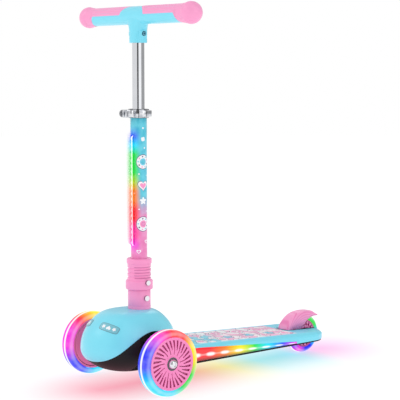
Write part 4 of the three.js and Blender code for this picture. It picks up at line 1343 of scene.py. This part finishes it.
# Painted reflection: the top and bottom rims of the band are darkened.
painted_rim_reflection = abs(cast_chrome.z - 495).step(6.4, 7.6)
tone = cast_chrome.mix(grain.step(0.35, 0.65), colour("B9BCC3"), colour("E6E7EA"))
tone = cast_chrome.mix(painted_facet_reflection, colour("4A4C52"), tone)
cast_chrome.set(Base_Color=cast_chrome.mix(0.75 * painted_rim_reflection, tone, colour("3A3C42")))
cast_chrome.set(Roughness=0.16 + 0.08 * grain)
cast_chrome.bump(grain, 0.05, 0.3)
ring_turn = np.radians(np.linspace(-90 + 5, 270 - 5, 120))
split_ring = np.vstack([np.stack([19 * np.cos(ring_turn), 19 * np.sin(ring_turn)], -1),
                        np.stack([15.3 * np.cos(ring_turn[::-1]), 15.3 * np.sin(ring_turn[::-1])], -1)])
ear = np.array([(1.6, -14.5), (7, -15.5), (7, -30), (5.6, -31.8), (1.6, -31.8)])
ears = [block((ear * (s, 1))[::s], 488, 502, 0.9, at_column) for s in (1, -1)]
moulding("clamp_band", [block(split_ring, 487, 503, 0.9, at_column)] + ears, "stem", cast_chrome,
         ["clamp_ring"], crease=40)
knurl = np.radians(np.linspace(0, 360, 144, endpoint=False))
knurled = Finish("knurled_chrome", Metallic=1.0, Roughness=0.3)
# Painted shade: dark rings every 2.2 mm along the nut stand for the shade in the knurl's grooves.
ridge = knurled.maths("FRACT", knurled.x / 2.2).step(0.25, 0.75)
knurled.set(Base_Color=knurled.mix(ridge, colour("3C3E43"), colour("B8BABF")))
nut_rows = []
for depth, plain, ridged in ((0, 5.8, 0), (0.6, 6.2, 0.7), (6.9, 6.2, 0.7), (7.8, 5.6, 0), (8.0, 3.4, 0),
                             (7.2, 3.0, 0)):
    ring = plain + ridged * np.abs(np.sin(12 * knurl))
    nut_rows.append(np.stack([np.full(144, -7.4 - depth), COLUMN_Y - 26 + ring * np.cos(knurl),
                              495 + ring * np.sin(knurl)], -1))
moulding("clamp_thumb_nut", [skin(np.array(nut_rows), round_cols=True, caps=True)], "stem", knurled,
         ["clamp_nut"])
lever_turn = np.radians(np.linspace(-58, 72, 60))
thick = np.interp(np.linspace(0, 1, 60), [0, 0.1, 0.8, 1.0], [3.4, 3.3, 3.0, 1.4])
outer_curve = np.stack([(21.0 + thick) * np.cos(lever_turn), (21.0 + thick) * np.sin(lever_turn)], -1)
inner_curve = np.stack([21.0 * np.cos(lever_turn[::-1]), 21.0 * np.sin(lever_turn[::-1])], -1)
lever_plan = np.vstack([outer_curve, inner_curve])
cam = np.radians(np.linspace(0, 360, 48, endpoint=False))
cam_plan = np.stack([13.2 + 5.8 * np.cos(cam), -26 + 5.8 * np.sin(cam)], -1)
lever_parts = [block(lever_plan, 489.4, 500.6, 1.0, at_column), block(cam_plan, 489, 501, 0.8, at_column)]
moulding("clamp_lever_arm", lever_parts,
         "clamp_lever", cast_chrome, ["clamp_lever"], crease=40)

# %% [markdown]
# ## Handlebar
# The telescopic tube is chrome. The T-piece is blue; its crossbar is a full round bar, and the
# pink grips are a second, softer plastic moulded over its upper half, wrapping right round
# near the ends and finishing in a ball. Fine ribs run along the grips.

# %% Chrome bar tube
bar_profile = [(0, 400), (10.4, 400), (11, 400.8), (11, 649.5), (0, 649.5)]
moulding("bar_tube_chrome", [skin(turned(bar_profile, 96, centre=(0, COLUMN_Y, 0)), round_rows=True)],
         "bar", chrome, ["bar_post"], crease=30)

# %% T-piece
BAR_Z, BAR_R = 671.0, 16.5
xs = np.linspace(-133, 133, 134)
bar_angle = np.linspace(0, 2 * np.pi, 96, endpoint=False)
end_dip = np.interp(np.abs(xs), [0, 129, 132, 133], [0, 0, 1.2, 2.5])
saddle = BAR_R - 0.15 - end_dip[:, None] + 0 * bar_angle
crossbar = np.stack([xs[:, None] + 0 * saddle, COLUMN_Y + saddle * np.sin(bar_angle),
                     BAR_Z + saddle * np.cos(bar_angle)], -1)
neck = [(622, 15.2, 15.2), (622.3, 15.8, 15.8), (623, 16, 16), (636, 16, 16), (644, 16.6, 16.2),
        (650, 18.2, 16.3), (655, 21, 16.3), (659, 25, 16.2), (662, 29.5, 15.9), (664, 33, 15.6),
        (667, 37, 14.5)]
neck = eased(neck, 5)
neck_grid = np.stack([neck[:, 1:2] * np.cos(bar_angle), COLUMN_Y + neck[:, 2:3] * np.sin(bar_angle),
                      neck[:, :1] + 0 * bar_angle], -1)
lug = filleted([(0, -19.5), (7.2, -19.5), (8.4, -16), (8.4, 14), (7.2, 17.6), (0, 17.6)], 1.5)
tee_parts = [skin(crossbar, round_cols=True, caps=True), skin(neck_grid, round_cols=True, caps=True),
             skin(turned(lug, 64, "x", (0, COLUMN_Y, 638)), round_rows=True)]
moulding("handlebar_tee", tee_parts, "bar", sky_blue, ["handlebar_core"], crease=40)
moulding("bar_bolt_head", [bolt_along_x(17.2, 1.9, 4.5, COLUMN_Y, 638)], "bar",
         bolt_finish("bar_bolt_grey", 4.5, 638, "7FC4D8", "2E5A6C"), ["bar_bolt"])


# %% Grips
def grip(side):
    """Rows from the T-piece to the ball's pole, columns round the bar. The half-angle covered is
    90 degrees up to 119 mm out and 180 degrees from 132 mm on, by an S-curve. The radius is the
    bar's, then a flare, then a ball; it dips under the blue at every free edge, and a low
    wave of 28 ribs runs along it."""
    rows, cols = 150, 144
    v = np.linspace(-1, 1, cols)[None]
    t = np.linspace(0, 1, rows)[:, None]
    begin = 35 - 20 * np.exp(-((v * 90 / 50) ** 2))
    x = begin + t * (170.6 - begin)
    s = np.clip((x - 119) / 13, 0, 1)
    cover = 90 + 90 * s * s * (3 - 2 * s)
    angle = np.radians(cover) * v
    ball = np.sqrt(np.maximum(0, 19.6**2 - (x - 151) ** 2))
    neckline = BAR_R + 1.6 * np.clip((x - 126) / 14, 0, 1) ** 2
    radius = np.where(x < 141, neckline, np.maximum(ball, 0))
    blend = np.clip((x - 138) / 6, 0, 1)
    radius = np.where((x > 138) & (x < 144), neckline * (1 - blend) + ball * blend, radius)
    ribs = 0.16 * np.cos(28 * angle) * np.clip((x - begin - 4) / 4, 0, 1) * np.clip((132 - x) / 6, 0, 1)
    side_edge = np.clip(1 - (1 - np.abs(v)) * cover / 90 * 26 / 1.3, 0, 1) * (1 - s)
    start_edge = np.clip(1 - t * 130 / 1.3, 0, 1)
    dip = 1.0 * np.maximum(side_edge, start_edge) ** 2
    radius = radius + ribs - dip
    grid = np.stack([side * x, COLUMN_Y + radius * np.sin(angle), BAR_Z + radius * np.cos(angle)], -1)
    return skin(grid)


grip_pink = moulded("grip_pink", "FFA8D4", "FF9CCD", 0.42, 0.02, 0.15)
for side, label in ((1, "left"), (-1, "right")):
    moulding("grip_sleeve_" + label, [grip(side)], "bar", grip_pink, ["grip_" + label],
             crease=50)

# %% [markdown]
# ## Parts that stay as they were designed
# Axles, bearings, the kingpin and the boards keep their own shape; they only get a finish, by
# the material of their slot, and zinc-plated steel where the slot has no finish here. The
# steel head bracket gets the black plastic finish as painted shade, so that the openings of
# the housing stay dark.

# %% Finishes for the kept parts
board_green = Finish("board_green", Roughness=0.5, Emission_Strength=1.2)
lit = board_green.node("ShaderNodeTexVoronoi", {}, {"Vector": board_green.place, "Scale": 120.0})
board_green.set(Base_Color=board_green.mix(board_green.noise(300), colour("1F6B3A"), colour("2C8A4C")))
board_green.set(Emission_Color=board_green.mix(lit.step(0.12, 0.2), colour("FFFFFF"), (0, 0, 0, 1)))
by_slot = {"steel": zinc, "chrome": chrome, "black_plastic": pan_black, "bush_rubber": rubber_black,
           "circuit_board": board_green, "pink_plastic": candy_pink, "blue_plastic": sky_blue,
           "stem_paint": stem_paint, "light_lens": strip_light, "hub_plastic": wheel_pink}
node_slots = {part["node"]: part["material_slot"] for part in frame["record"]["subparts"]}
kept = [n for n, piece in nodes.items() if not piece.hide_render]
for n in kept:
    # Painted shade: the steel head bracket gets the black finish so that the housing's openings look dark.
    finish = pan_black if n == "head_bracket" else by_slot.get(node_slots.get(n, "steel"), zinc)
    nodes[n].data.materials.clear()
    nodes[n].data.materials.append(finish.material)
print("kept parts:", len(kept), kept)
